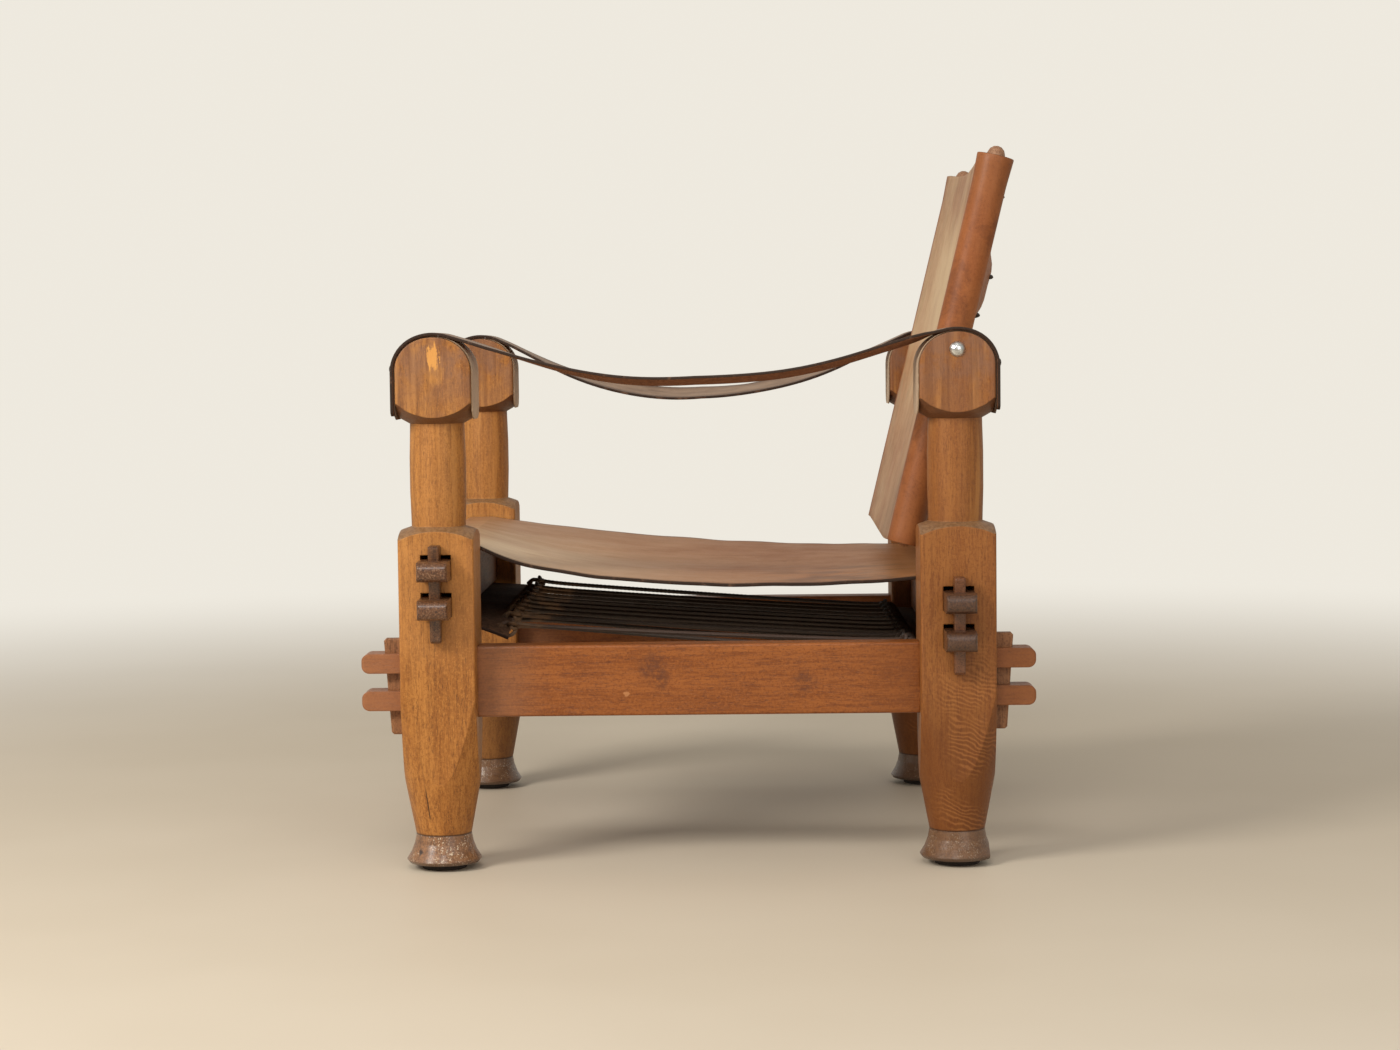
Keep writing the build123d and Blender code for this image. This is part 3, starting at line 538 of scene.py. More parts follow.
front_low, front_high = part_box("rail_front")
rear_low, rear_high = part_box("rail_rear")
seat_low, seat_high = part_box("seat_leather")
rail_round = 0.003
seat_thickness = 0.004
leather_gap = 0.0003
seat_offset = rail_round + leather_gap + seat_thickness / 2
seat_half = (seat_high.x - seat_low.x) / 2
front_flap = 0.054
rear_flap = 0.039
front_out = front_low.y + rail_round
front_in = front_high.y - rail_round
rear_in = rear_low.y + rail_round
rear_out = rear_high.y - rail_round
front_top = front_high.z - rail_round
front_bottom = front_low.z + rail_round
rear_top = rear_high.z - rail_round
rear_bottom = rear_low.z + rail_round
lace_slope = degrees(atan2(front_bottom - rear_bottom, rear_in - front_out))
lace_down = 270 - lace_slope
lace_start = turned((front_out, front_bottom), seat_offset, lace_down)
lace_end = turned((rear_in, rear_bottom), seat_offset, lace_down)
lace_length = dist(lace_start, lace_end)
front_edge = front_flap + (front_in - front_out) + rail_round
rear_edge = lace_length - rear_flap + rail_round
middle_slopes = (16, 6, 5)
left_slopes = (20, 6, 5.6)
right_slopes = (9, 4.5, 0.5)
front_flap_rows = 18
rear_flap_rows = 14
turn_rows = 6
face_rows = 10
top_rows = 5
lead_rows = 3
sweep_rows = 34


def seat_stations(slopes):
    """Middle line of the sheet in (y, z): front flap, front rail, the sling, rear rail, flap."""
    front_slope, join_slope, rear_slope = slopes
    start = turned((front_in, front_top), seat_offset, 90 - front_slope)
    end = turned((rear_in, rear_top), seat_offset, 90 + rear_slope)
    span = end[0] - start[0]
    front_rate = tan(radians((front_slope + join_slope) / 2))
    rear_rate = tan(radians((join_slope - rear_slope) / 2))
    front_span = (start[1] - end[1] - span * rear_rate) / (front_rate - rear_rate)
    front_sweep = front_span / (sin(radians(front_slope)) - sin(radians(join_slope)))
    rear_sweep = (span - front_span) / (sin(radians(join_slope)) + sin(radians(rear_slope)))
    front_centre = turned(start, front_sweep, 90 - front_slope)
    rear_centre = turned(front_centre, rear_sweep - front_sweep, 90 - join_slope)
    return trace(
        turned(lace_start, front_edge, -lace_slope),
        (lace_start, front_flap_rows),
        ((front_out, front_bottom), seat_offset, lace_down, 180, turn_rows),
        ((front_out - seat_offset, front_top), face_rows),
        ((front_out, front_top), seat_offset, 180, 90, turn_rows),
        ((front_in, front_top + seat_offset), top_rows),
        ((front_in, front_top), seat_offset, 90, 90 - front_slope, lead_rows),
        (front_centre, front_sweep, 270 - front_slope, 270 - join_slope, sweep_rows),
        (rear_centre, rear_sweep, 270 - join_slope, 270 + rear_slope, sweep_rows),
        ((rear_in, rear_top), seat_offset, 90 + rear_slope, 90, lead_rows),
        ((rear_out, rear_top + seat_offset), top_rows),
        ((rear_out, rear_top), seat_offset, 90, 0, turn_rows),
        ((rear_out + seat_offset, rear_bottom), face_rows),
        ((rear_out, rear_bottom), seat_offset, 0, -90, turn_rows),
        ((rear_in, rear_bottom - seat_offset), top_rows),
        ((rear_in, rear_bottom), seat_offset, -90, -90 - lace_slope, 1),
        (turned(lace_start, rear_edge, -lace_slope), rear_flap_rows),
    )


def blended_slopes(x):
    """The sling hangs deeper on one side; its slopes pass smoothly through the three measured."""
    share = x / seat_half
    edge_slopes = left_slopes if share > 0 else right_slopes
    return [m + (e - m) * abs(share) for m, e in zip(middle_slopes, edge_slopes)]


def clear_selection():
    """Leave nothing selected, so that the next operator acts on its own piece alone."""
    bpy.ops.object.select_all(action="DESELECT")


def leather_blank(name, columns, rows):
    """A flat blank of leather, ready to be laid over its frame."""
    clear_selection()
    bpy.ops.mesh.primitive_grid_add(x_subdivisions=columns, y_subdivisions=rows, size=1)
    blank = bpy.context.object
    blank.name = name
    blank.data.name = name
    return blank


def run_lengths(line):
    """Distance from the start of a line to each of its points."""
    lengths = [0.0]
    for start, end in zip(line, line[1:]):
        lengths.append(lengths[-1] + dist(start, end))
    return lengths


def lay(blank, columns, rows, place_of, width, lengths):
    """Lay a blank point by point; its map keeps each point's place on the flat hide in metres."""
    cells = []
    for vertex in blank.data.vertices:
        cell = round((vertex.co.x + 0.5) * columns), round((vertex.co.y + 0.5) * rows)
        cells.append(cell)
        vertex.co = place_of(*cell)
    flat_map = blank.data.uv_layers.active.data
    for loop in blank.data.loops:
        column, row = cells[loop.vertex_index]
        flat_map[loop.index].uv = (width * column / columns, lengths[row])
    blank.data.update()


def ease_edges(piece, width, angle):
    """Round over the arrises that are sharper than an angle in degrees."""
    eased = piece.modifiers.new("eased", "BEVEL")
    eased.width = width
    eased.segments = 2
    eased.limit_method = "ANGLE"
    eased.angle_limit = radians(angle)
    bpy.ops.object.modifier_apply(modifier="eased")


def thicken(piece, thickness, materials, edge_round=0.0009):
    """Give laid leather its thickness, burnished rim and rounded cut edges."""
    for material in materials:
        piece.data.materials.append(material)
    wall = piece.modifiers.new("wall", "SOLIDIFY")
    wall.thickness = thickness
    wall.offset = 0
    wall.use_even_offset = True
    wall.material_offset = 1
    wall.material_offset_rim = 2
    bpy.context.view_layer.objects.active = piece
    bpy.ops.object.modifier_apply(modifier="wall")
    ease_edges(piece, edge_round, 60)
    bpy.ops.object.shade_smooth_by_angle(angle=radians(35))


def seat_x(column):
    """How far to the left of the chair's middle a column of the sheet lies."""
    return -seat_half + 2 * seat_half * column / seat_columns


seat_columns = 46
seat_lines = [seat_stations(blended_slopes(seat_x(c))) for c in range(seat_columns + 1)]
seat_rows = len(seat_lines[0]) - 1
sling_first = front_flap_rows + turn_rows + face_rows + turn_rows + top_rows + lead_rows
sling_rows = 2 * sweep_rows
flap_droop = 0.016
flap_ripple = 0.0016
droop_start = 0.12
sling_belly = 0.0016
front_swell = 0.0052
rim_start = 0.80


def seat_place(column, row):
    """The sheet's line for this column, with its drooping flap corner and stretched sling."""
    x = seat_x(column)
    y, z = seat_lines[column][row]
    if row < front_flap_rows:
        out = (front_flap_rows - row) / front_flap_rows
        corner = max(0.0, (x - droop_start) / (seat_half - droop_start))
        z -= flap_droop * out * out * corner * corner
        z += flap_ripple * out * sin(x * 68) * (1 - 0.5 * corner)
        y += 0.0015 * out * out * sin(x * 97 + 2)
    if row > seat_rows - rear_flap_rows:
        out = (row - seat_rows + rear_flap_rows) / rear_flap_rows
        z += flap_ripple * out * sin(x * 61 + 1)
    along = (row - sling_first) / sling_rows
    if 0 < along < 1:
        held = min(1.0, along * 9, (1 - along) * 9)
        z += 0.0006 * held * noise.noise(Vector((x * 14, y * 2.4, 4.0)))
        z -= sling_belly * held * sin(pi * along) * (1 - (x / seat_half) ** 2)
        near_front = max(0.0, 1 - abs(along - 0.07) / 0.17) ** 2
        z += front_swell * near_front * min(1.0, along * 30) * max(0.0, x / seat_half) ** 2
        edge = max(0.0, abs(x) / seat_half - rim_start) / (1 - rim_start)
        z += 0.00176 * held * edge * edge * noise.noise(Vector((x * 3, y * 19, 1.0)))
    return Vector((x, y, z))


seat_shades = ((0.455, 0.200, 0.074), (0.375, 0.150, 0.052), (0.195, 0.072, 0.026))


def leather_finish(name, shades, grows, rough, sheen, streaky, marks=None):
    """Grain side of bridle leather, on the map that its blank keeps in metres."""
    pale, middle, dark = shades
    material, shader, place = start_finish(
        name, Coat_Roughness=0.30, Coat_IOR=1.45, Specular_IOR_Level=0.26
    )
    lie = Signal(place.tree, place.tree.nodes.new("ShaderNodeTexCoord").outputs["UV"])
    stretched = lie * ((1.0, 0.34, 1.0) if grows == "V" else (0.34, 1.0, 1.0))
    streaks = stretched.noise(40, 4, 0.6, 0.8)
    creases = stretched.noise(150, 3, 0.6)
    cloud = lie.noise(7, 3, 0.6, 0.5)
    mottle = lie.noise(38, 4, 0.72)
    freckle = lie.noise(330, 3, 0.8)
    pits = lie.node("TexVoronoi", {"Vector": lie, "Scale": 620}, feature="DISTANCE_TO_EDGE")
    colour = cloud.between(0.34, 0.66).mix(middle, pale)
    colour = colour.under(
        (streaks.between(0.46, 0.70) * streaky, dark),
        (mottle.between(0.52, 0.74) * 0.30, dark),
        (creases.between(0.56, 0.70) * streaky * 0.6, pale),
        (freckle.between(0.53, 0.65) * 0.36, pale),
        (freckle.between(0.47, 0.36) * 0.36, dark),
    )
    relief = pits.between(0.0, 0.0009) * 0.30 + mottle * 0.5 + creases * 0.4
    settle(
        shader,
        Base_Color=marks(lie, colour) if marks else colour,
        Roughness=rough + 0.16 * (mottle - 0.5) + 0.20 * (streaks - 0.5),
        Coat_Weight=cloud.between(0.30, 0.70) * sheen,
        Normal=relief.raised(0.30, 0.0008),
    )
    return material


def flesh_finish(name, pale, dark):
    """Flesh side of leather: matt, fibrous and a little fluffy."""
    material, shader, place = start_finish(name, Specular_IOR_Level=0.14)
    fibres = place.noise(160, 5, 0.75, 1.5)
    patches = place.noise(18, 3, 0.6).between(0.45, 0.7) * 0.35
    settle(
        shader,
        Base_Color=patches.mix(fibres.between(0.35, 0.68).mix(dark, pale), dark),
        Roughness=0.78 + 0.15 * fibres,
        Normal=fibres.raised(0.5, 0.0006),
    )
    return material


def edge_finish(name, burnt, bare, marks=None):
    """Cut edge of leather, dyed and burnished, worn back in places."""
    material, shader, place = start_finish(name, Specular_IOR_Level=0.22)
    wear = place.noise(70, 4, 0.65)
    colour = wear.between(0.55, 0.74).mix(burnt, bare)
    settle(
        shader,
        Base_Color=marks(place, colour) if marks else colour,
        Roughness=0.42 + 0.3 * wear,
        Normal=place.noise(900, 2).raised(0.3, 0.0003),
    )
    return material


def seat_marks(lie, colour):
    """Pale painted sheen, streaked, by the front rail and fainter in the middle; dark creases by
    the rear one, dark fold lines.
    """
    across = lie.part("X")
    along = lie.part("Y")
    # Pale streaked sheen by the front rail, painted into the colour.
    painted_sheen_front = along.between(0.52, 0.20) * along.between(0.14, 0.20)
    painted_sheen_front = painted_sheen_front * (0.25 + 0.75 * across.between(0.04, 0.42))
    strands = (lie * (1.0, 0.30, 1.0)).noise(24, 5, 0.66, 0.6).between(0.38, 0.62)
    bend = (lie * (1.0, 0.55, 1.0)).noise(9, 2) * 0.12
    crease = ((lie + bend) * (1.0, 0.45, 1.0)).noise(24, 4, 0.6).between(0.44, 0.60)
    rear = along.between(0.500, 0.610) * along.between(0.700, 0.680) * across.between(0.18, 0.36)
    # A faint band of painted sheen in the middle, towards the near side.
    glow = across.between(0.26, 0.40) * along.between(0.30, 0.40) * along.between(0.62, 0.50)
    rim = (across - seat_half).size().between(seat_half - 0.012, seat_half - 0.002)
    return colour.under(
        (across.between(0.19, 0.03) * 0.26, (0.240, 0.094, 0.034)),
        (painted_sheen_front * (0.64 + 0.34 * strands), (0.72, 0.550, 0.360)),
        (rear * crease * 0.60, (0.110, 0.046, 0.022)),
        (glow * 0.16, (0.60, 0.42, 0.26)),
        (rim * 0.55, (0.095, 0.045, 0.028)),
    )


burnished_edge = edge_finish("burnished_edge", (0.030, 0.0155, 0.0095), (0.13, 0.068, 0.040))
seat_grain = leather_finish("seat_grain", seat_shades, "V", 0.46, 0.12, 0.16, seat_marks)
seat_flesh = flesh_finish("seat_flesh", (0.120, 0.062, 0.036), (0.045, 0.024, 0.014))
seat_lengths = run_lengths(seat_lines[seat_columns // 2])
seat_sheet = leather_blank("seat_sheet", seat_columns, seat_rows)
lay(seat_sheet, seat_columns, seat_rows, seat_place, 2 * seat_half, seat_lengths)
thicken(seat_sheet, seat_thickness, (seat_grain, seat_flesh, burnished_edge))
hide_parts("seat_leather")
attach(seat_sheet, "frame")


# Lacing: one waxed black cord goes to and fro between the flaps of a sheet, over and under
# through punched holes, and is knotted off at each end.
cord_radius = 0.00225
lace_turn = 0.005
lace_margin = 0.010
lace_sag = 0.0015
lace_wander = 0.0022
over_shares = (0.06, 0.2, 0.4, 0.6, 0.8, 0.94)
under_shares = (0.08, 0.25, 0.45, 0.65, 0.85, 0.93)


def lace_line(span, pitch, runs, loop, shift):
    """Route of a lacing in its own plane; loop is how high it stands round a flap's edge."""
    turn_x = span / 2 - lace_turn
    points = []

    def round_flap(way, y, first, stop):
        """Cord round one flap's edge, from one angle down to before another."""
        for angle in range(first, stop, -15):
            a = radians(angle)
            points.append((way * turn_x + lace_turn * cos(a), y, loop * sin(a)))

    for run in range(runs):
        y = pitch * (run - (runs - 1) / 2)
        wander = lace_wander * sin(run * 2.4 + span * 40)
        round_flap(-1, y, 90 if run == 0 else 180, 89)
        for share in over_shares:
            height = lace_turn - lace_sag * 4 * share * (1 - share)
            points.append((-turn_x + 2 * turn_x * share, y + wander * sin(pi * share), height))
        round_flap(1, y, 90, -1 if run == runs - 1 else -91)
        if run == runs - 1:
            continue
        for share in under_shares:
            eased_share = share * share * (3 - 2 * share)
            dip = lace_sag * 4 * share * (1 - share)
            points.append((turn_x - 2 * turn_x * share, y + pitch * eased_share, -lace_turn - dip))
        round_flap(-1, y + pitch, 270, 180)
    return [(x, y, z + shift(0.5 + x / span, y)) for x, y, z in points]


def cord_path(name, points):
    """Points along a smooth cord through a route, read from a curve without thickness."""
    data = bpy.data.curves.new(name + "_route", "CURVE")
    data.dimensions = "3D"
    data.resolution_u = 5
    spline = data.splines.new("NURBS")
    spline.points.add(len(points) - 1)
    for point, place in zip(spline.points, points):
        point.co = (*place, 1)
    spline.order_u = 3
    spline.use_endpoint_u = True
    route = bpy.data.objects.new(name + "_route", data)
    bpy.context.scene.collection.objects.link(route)
    bpy.context.view_layer.update()
    mesh = bpy.data.meshes.new_from_object(route)
    line = [vertex.co.copy() for vertex in mesh.vertices]
    bpy.data.meshes.remove(mesh)
    bpy.data.objects.remove(route)
    bpy.data.curves.remove(data)
    return line


def even_steps(line, step):
    """Points at an even spacing along a line."""
    kept = [line[0]]
    needed = step
    for start, end in zip(line, line[1:]):
        length = (end - start).length
        while length >= needed and length > 0:
            start = start.lerp(end, needed / length)
            kept.append(start.copy())
            length = (end - start).length
            needed = step
        needed -= length
    return kept


braid_ribs = 8
braid_lay = 0.010
braid_swell = 0.14


def braid(name, line, radius, step=0.0016):
    """A braided cord: a tube whose section swells and narrows in crossing spirals."""
    path = even_steps(line, step)
    side = Vector((0, 0, 1))
    points = []
    faces = []
    for index, point in enumerate(path):
        ahead_point = path[min(index + 1, len(path) - 1)]
        behind = path[max(index - 1, 0)]
        forward = (ahead_point - behind).normalized()
        side = (side - forward * side.dot(forward)).normalized()
        other = forward.cross(side)
        phase = 2 * pi * index * step / braid_lay
        for rib in range(braid_ribs):
            angle = 2 * pi * rib / braid_ribs
            swell = 1 + braid_swell * cos(2 * angle + phase) * cos(2 * angle - phase)
            points.append(point + (side * cos(angle) + other * sin(angle)) * radius * swell)
    for index in range(len(path) - 1):
        for rib in range(braid_ribs):
            a = index * braid_ribs + rib
            b = index * braid_ribs + (rib + 1) % braid_ribs
            faces.append((a, b, b + braid_ribs, a + braid_ribs))
    last_ring = (len(path) - 1) * braid_ribs
    faces.append(tuple(range(braid_ribs - 1, -1, -1)))
    faces.append(tuple(last_ring + rib for rib in range(braid_ribs)))
    mesh = bpy.data.meshes.new(name)
    mesh.from_pydata(points, [], faces)
    mesh.update()
    mesh.materials.append(cord_black)
    piece = bpy.data.objects.new(name, mesh)
    bpy.context.scene.collection.objects.link(piece)
    clear_selection()
    piece.select_set(True)
    bpy.context.view_layer.objects.active = piece
    bpy.ops.object.shade_smooth_by_angle(angle=radians(50))
    return piece


cord_black, cord_shader, place = start_finish("waxed_black_cord")
strands = place.noise(1400, 3, 0.7)
dusty = place.noise(45, 3)
low_cord = place.part("Z").between(0.34, 0.30)
# The cord along the seat's near edge is browner.
near_edge_brown = place.part("X").between(0.17, 0.21) * low_cord
# Golden brown on the cord by the front flap's edge is a painted highlight.
painted_golden_highlight = place.part("Y").between(-0.150, -0.166) * low_cord
cord_colour = (near_edge_brown * 0.7).mix((0.018, 0.0105, 0.0062), (0.060, 0.032, 0.022))
settle(
    cord_shader,
    Base_Color=cord_colour.under(
        (painted_golden_highlight * dusty.between(0.35, 0.6), (0.150, 0.080, 0.034)),
        (strands.between(0.42, 0.72) * 0.75, (0.095, 0.056, 0.036)),
    ),
    Roughness=0.42 + 0.35 * dusty,
    Normal=strands.raised(0.6, 0.0005),
)

knot_steps = 48
end_knot_radius = 0.0052
hitch_steps = 28
hitch_reach = 0.0090
hitch_twist = 0.0036
hitch_height = 0.0068
hitch_knot_radius = 0.0058


def tie_knot(name, radius):
    """An overhand knot drawn tight: three tucks of cord round the origin, its axis up."""
    loop = []
    for step in range(knot_steps + 1):
        turn = 2 * pi * step / knot_steps
        swing = radius * (0.62 + 0.34 * cos(3 * turn))
        rise = radius * 0.55 * sin(3 * turn)
        loop.append(Vector((swing * cos(2 * turn), swing * sin(2 * turn), rise)))
    return braid(name, loop, cord_radius * 0.92, 0.0012)


def tie_hitch(name):
    """A turn through a hole and round the flap's edge, knotted on top; the hole is the origin."""
    turn = []
    for step in range(hitch_steps + 1):
        a = 2 * pi * step / hitch_steps + pi
        x = lace_margin - 0.0035 + hitch_reach * cos(a)
        turn.append(Vector((x, hitch_twist * sin(a), hitch_height * sin(a))))
    band = braid(name, turn, cord_radius)
    knot = tie_knot(name + "_knot", hitch_knot_radius)
    knot.data.transform(Matrix.Translation((0.0125, 0.0, 0.0058)) @ Matrix.Rotation(0.7, 4, "Y"))
    return join_up([band, knot])


def join_up(pieces):
    """Make several meshes one piece, under the first one's name."""
    clear_selection()
    for piece in pieces:
        piece.select_set(True)
    bpy.context.view_layer.objects.active = pieces[0]
    bpy.ops.object.join()
    return pieces[0]


def copy_of(piece, name, move):
    """A copy of a piece with its own mesh, moved by a matrix."""
    copy = piece.copy()
    copy.data = piece.data.copy()
    copy.name = name
    copy.data.name = name
    copy.data.transform(move)
    bpy.context.scene.collection.objects.link(copy)
    return copy


lace_tail = 0.006


def lace_up(name, node, origin, x_axis, normal, lacing, body, hitched):
    """Make a lacing, its two end knots and its hitches as one piece; lacing holds its sizes."""
    y_axis = normal.cross(x_axis)
    half_span = lacing["span"] / 2
    flat_line = lace_line(**lacing)

    def out(point):
        return origin + x_axis * point[0] + y_axis * point[1] + normal * point[2]

    def stand(point, turn):
        """Matrix that stands a knot made at the origin on the lacing's plane."""
        axes = Matrix((x_axis, y_axis, normal)).transposed().to_4x4()
        return Matrix.Translation(out(point)) @ axes @ Matrix.Rotation(turn, 4, "Z")

    def below(x, point, drop):
        return (x, point[1], point[2] - drop)

    tips = [below(-half_span, flat_line[0], lace_tail), below(half_span, flat_line[-1], lace_tail)]
    route = [tips[0], below(-half_span, flat_line[0], lace_tail / 2)]
    route += flat_line
    route += [below(half_span, flat_line[-1], lace_tail / 2), tips[1]]
    cord = braid(name, cord_path(name, [out(point) for point in route]), cord_radius)
    pieces = [cord]
    end_knot = tie_knot(f"{name}_knot", end_knot_radius)
    for number, tip in enumerate(tips):
        pieces.append(copy_of(end_knot, f"{name}_end_{number}", stand(tip, 0.0)))
    bpy.data.objects.remove(end_knot)
    if hitched:
        hitch = tie_hitch(f"{name}_hitch")
        for run in range(lacing["runs"]):
            y = lacing["pitch"] * (run - (lacing["runs"] - 1) / 2)
            for way, turn in ((-1, 0.0), (1, pi)):
                spot = (way * half_span, y, lacing["shift"](0.5 + way * 0.5, y))
                pieces.append(copy_of(hitch, f"{name}_hitch_{run}", stand(spot, turn)))
        bpy.data.objects.remove(hitch)
    join_up(pieces)
    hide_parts(node)
    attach(cord, body)


seat_lace_runs = 10
seat_lace_edge = 0.0255
seat_lace_middle = turned(lace_start, (front_edge + rear_edge) / 2, -lace_slope)
lace_angle = radians(lace_slope)
near_knot_start = 0.170
near_knot_lift = 0.0035


def follow_seat_flap(share, y):
    """Runs are lower where the front flap droops at its near corner."""
    corner = max(0.0, (-y - 0.10) / (seat_half - 0.10))
    lifted = near_knot_lift * max(0.0, (y - near_knot_start) / 0.037) * (1 - share)
    return lifted - flap_droop * 0.85 * (1 - share) * corner * corner


lace_up(
    "seat_cord",
    "seat_lacing",
    Vector((0, *seat_lace_middle)),
    Vector((0, cos(lace_angle), -sin(lace_angle))),
    Vector((0, sin(lace_angle), cos(lace_angle))),
    {
        "span": rear_edge - front_edge + 2 * lace_margin,
        "pitch": (2 * seat_half - 2 * seat_lace_edge) / (seat_lace_runs - 1),
        "runs": seat_lace_runs,
        "loop": 0.0075,
        "shift": follow_seat_flap,
    },
    "frame",
    True,
)


# Poles: two straight turned poles that carry the back and turn on bolts through the rear
# heads. Their ends are rounded over and show at the top and foot of the sleeves.
pole_colours = (
    (0.400, 0.212, 0.120),
    (0.325, 0.160, 0.086),
    (0.210, 0.095, 0.050),
    (0.120, 0.050, 0.026),
)
pole_wood = wood_finish("pole_wood", "Z", pole_colours, 0.5, 0.45)
for side in sides:
    paint(f"back_pole_{side}", pole_wood)


# Back: one sheet folded round both poles into sleeves, its flaps laced together behind. The
# grain side is out; it is rubbed orange on the sleeves and has a beige painted sheen in front.
bolt_low, bolt_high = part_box("pivot_bolt_left")
pivot = Vector((0, (bolt_low.y + bolt_high.y) / 2, (bolt_low.z + bolt_high.z) / 2))
recline = radians(13.7)
pole_up = Vector((0, sin(recline), cos(recline)))
back_out = Vector((0, cos(recline), -sin(recline)))
pole_radius = 0.015
pole_low, pole_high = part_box("back_pole_left")
pole_reach = (pole_low.x + pole_high.x) / 2
pole_above = 0.224
pole_below = 0.220
back_thickness = 0.0035
sleeve_top = 0.011
sleeve_bottom = 0.004
sleeve_radius = pole_radius + leather_gap + back_thickness / 2
back_flap = 0.062
back_dip = 4
back_length = pole_above + pole_below - sleeve_top - sleeve_bottom
flap_edge = pole_reach - back_flap
back_flap_rows = 12
sleeve_rows = 22
front_rows = 40


def back_stations():
    """Middle line of the sheet across the chair: flap, sleeve, front, sleeve, flap."""
    slack = radians(back_dip)
    tangent_x = pole_reach - sleeve_radius * sin(slack)
    dip_radius = tangent_x / sin(slack)
    dip_centre = (0, -(dip_radius + sleeve_radius) * cos(slack))
    return trace(
        (flap_edge, sleeve_radius),
        ((pole_reach, sleeve_radius), back_flap_rows),
        ((pole_reach, 0), sleeve_radius, 90, -90 - back_dip, sleeve_rows),
        (dip_centre, dip_radius, 90 - back_dip, 90 + back_dip, front_rows),
        ((-pole_reach, 0), sleeve_radius, 270 + back_dip, 90, sleeve_rows),
        ((-flap_edge, sleeve_radius), back_flap_rows),
    )


back_line = back_stations()
back_rows = len(back_line) - 1
back_columns = 54
bulge_low = 0.030
bulge_high = 0.122
bulge_depth = 0.0112
top_flare = 0.0065
foot_flare = 0.004
flap_ripple_depth = 0.0009
flap_ripple_pitch = 0.0443
front_sag = 0.0045
front_ripple = 0.0016
top_droop = 0.008
foot_droop = 0.009
lip_start = 0.93
lip_flare = 0.0015


def flap_lift(along, flap_share, way):
    """How far a flap stands off its plane, at a share of the way from its sleeve to its edge."""
    share = (along + pole_below - sleeve_bottom) / back_length
    rise = min(1.0, max(0.0, (along - bulge_low) / (bulge_high - bulge_low)))
    belly = sin(pi * rise**1.15) ** 0.7 if 0 < rise < 1 else 0.0
    lift = bulge_depth * flap_share * belly * (1.0 if way > 0 else 0.35)
    near_top = max(0.0, (share - 0.86) / 0.14)
    near_foot = max(0.0, (0.10 - share) / 0.10)
    lift += flap_share * (top_flare * near_top * near_top + foot_flare * near_foot * near_foot)
    return lift + flap_ripple_depth * flap_share * sin(along * 2 * pi / flap_ripple_pitch)


def back_place(column, row):
    """Point of the back sheet; the front sags a little and the sleeve's rim flares."""
    share = column / back_columns
    along = -pole_below + sleeve_bottom + back_length * share
    x, out = back_line[row]
    from_edge = min(row, back_rows - row)
    if from_edge < back_flap_rows:
        out += flap_lift(along, (back_flap_rows - from_edge) / back_flap_rows, x)
    front_share = 1 - min(1.0, abs(x) / (pole_reach - sleeve_radius))
    if out < 0 and front_share > 0:
        rub = noise.noise(Vector((x * 9, along * 5, 2.0)))
        out += (front_sag * sin(pi * share) + front_ripple * rub) * min(1.0, front_share * 2.2)
        droop = top_droop * max(0.0, (share - 0.6) / 0.4)
        droop += foot_droop * max(0.0, (0.4 - share) / 0.4)
        along -= droop * sin(pi * front_share / 2)
    lip = max(0.0, (share - lip_start) / (1 - lip_start))
    sleeve_lip = 1 - min(1.0, abs(abs(x) - pole_reach) / (sleeve_radius * 1.6))
    out += lip_flare * lip * sleeve_lip * (1 if out > 0 else -1)
    return pivot + Vector((x, 0, 0)) + pole_up * along + back_out * out


back_shades = ((0.395, 0.140, 0.042), (0.300, 0.094, 0.027), (0.145, 0.043, 0.014))
back_lengths = run_lengths(back_line)
back_width = back_lengths[-1]


def back_marks(lie, colour):
    """Beige painted sheen down the front of the back, streaked along the poles and strongest
    towards the near pole; stains on sleeves.
    """
    along = lie.part("X")
    across = lie.part("Y")
    middle = back_width / 2
    stain = lie.noise(24, 4, 0.7, 0.6).between(0.50, 0.66)
    ends_dark = 0.35 * along.between(0.13, 0.02) + 0.40 * along.between(0.33, 0.42)
    # The front's beige is painted sheen, stronger towards the near pole.
    front = (across - middle).size().between(0.2125, 0.198)
    sheen_near_side = across.between(middle + 0.190, middle + 0.060)
    height = along.between(0.06, 0.26) * along.between(0.40, 0.31)
    rubbed = (lie * (0.50, 1.0, 1.0)).noise(10, 3, 0.55, 0.3).between(0.34, 0.66)
    scuffed = (lie * (0.6, 1.0, 1.0)).noise(90, 4, 0.7).between(0.40, 0.62)
    sheen_streaks = rubbed * 0.30 + scuffed * 0.14
    return colour.under(
        (stain * 0.40, (0.120, 0.036, 0.014)),
        (ends_dark, (0.165, 0.055, 0.019)),
        (front * (0.18 + 0.24 * height + 0.20 * sheen_near_side * height + sheen_streaks), (0.65, 0.465, 0.270)),
    )


back_grain = leather_finish("back_grain", back_shades, "U", 0.50, 0.10, 0.44, back_marks)
back_flesh = flesh_finish("back_flesh", (0.42, 0.265, 0.165), (0.26, 0.145, 0.085))
brown_edge = edge_finish("brown_edge", (0.050, 0.024, 0.015), (0.20, 0.10, 0.055))
back_sheet = leather_blank("back_sheet", back_columns, back_rows)
lay(back_sheet, back_columns, back_rows, back_place, back_length, back_lengths)
thicken(back_sheet, back_thickness, (back_grain, back_flesh, brown_edge))
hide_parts("back_leather")
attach(back_sheet, "backrest")

back_lace_runs = 9
back_lace_edge = 0.0385


def follow_back_flaps(share, y):
    """Each end of a run lies on its flap, which bellies out between the laces."""
    flap_share = 1 - lace_margin / back_flap
    right_out, left_out = (flap_lift(-y, flap_share, way) for way in (-1, 1))
    return right_out + (left_out - right_out) * min(1.0, max(0.0, share))


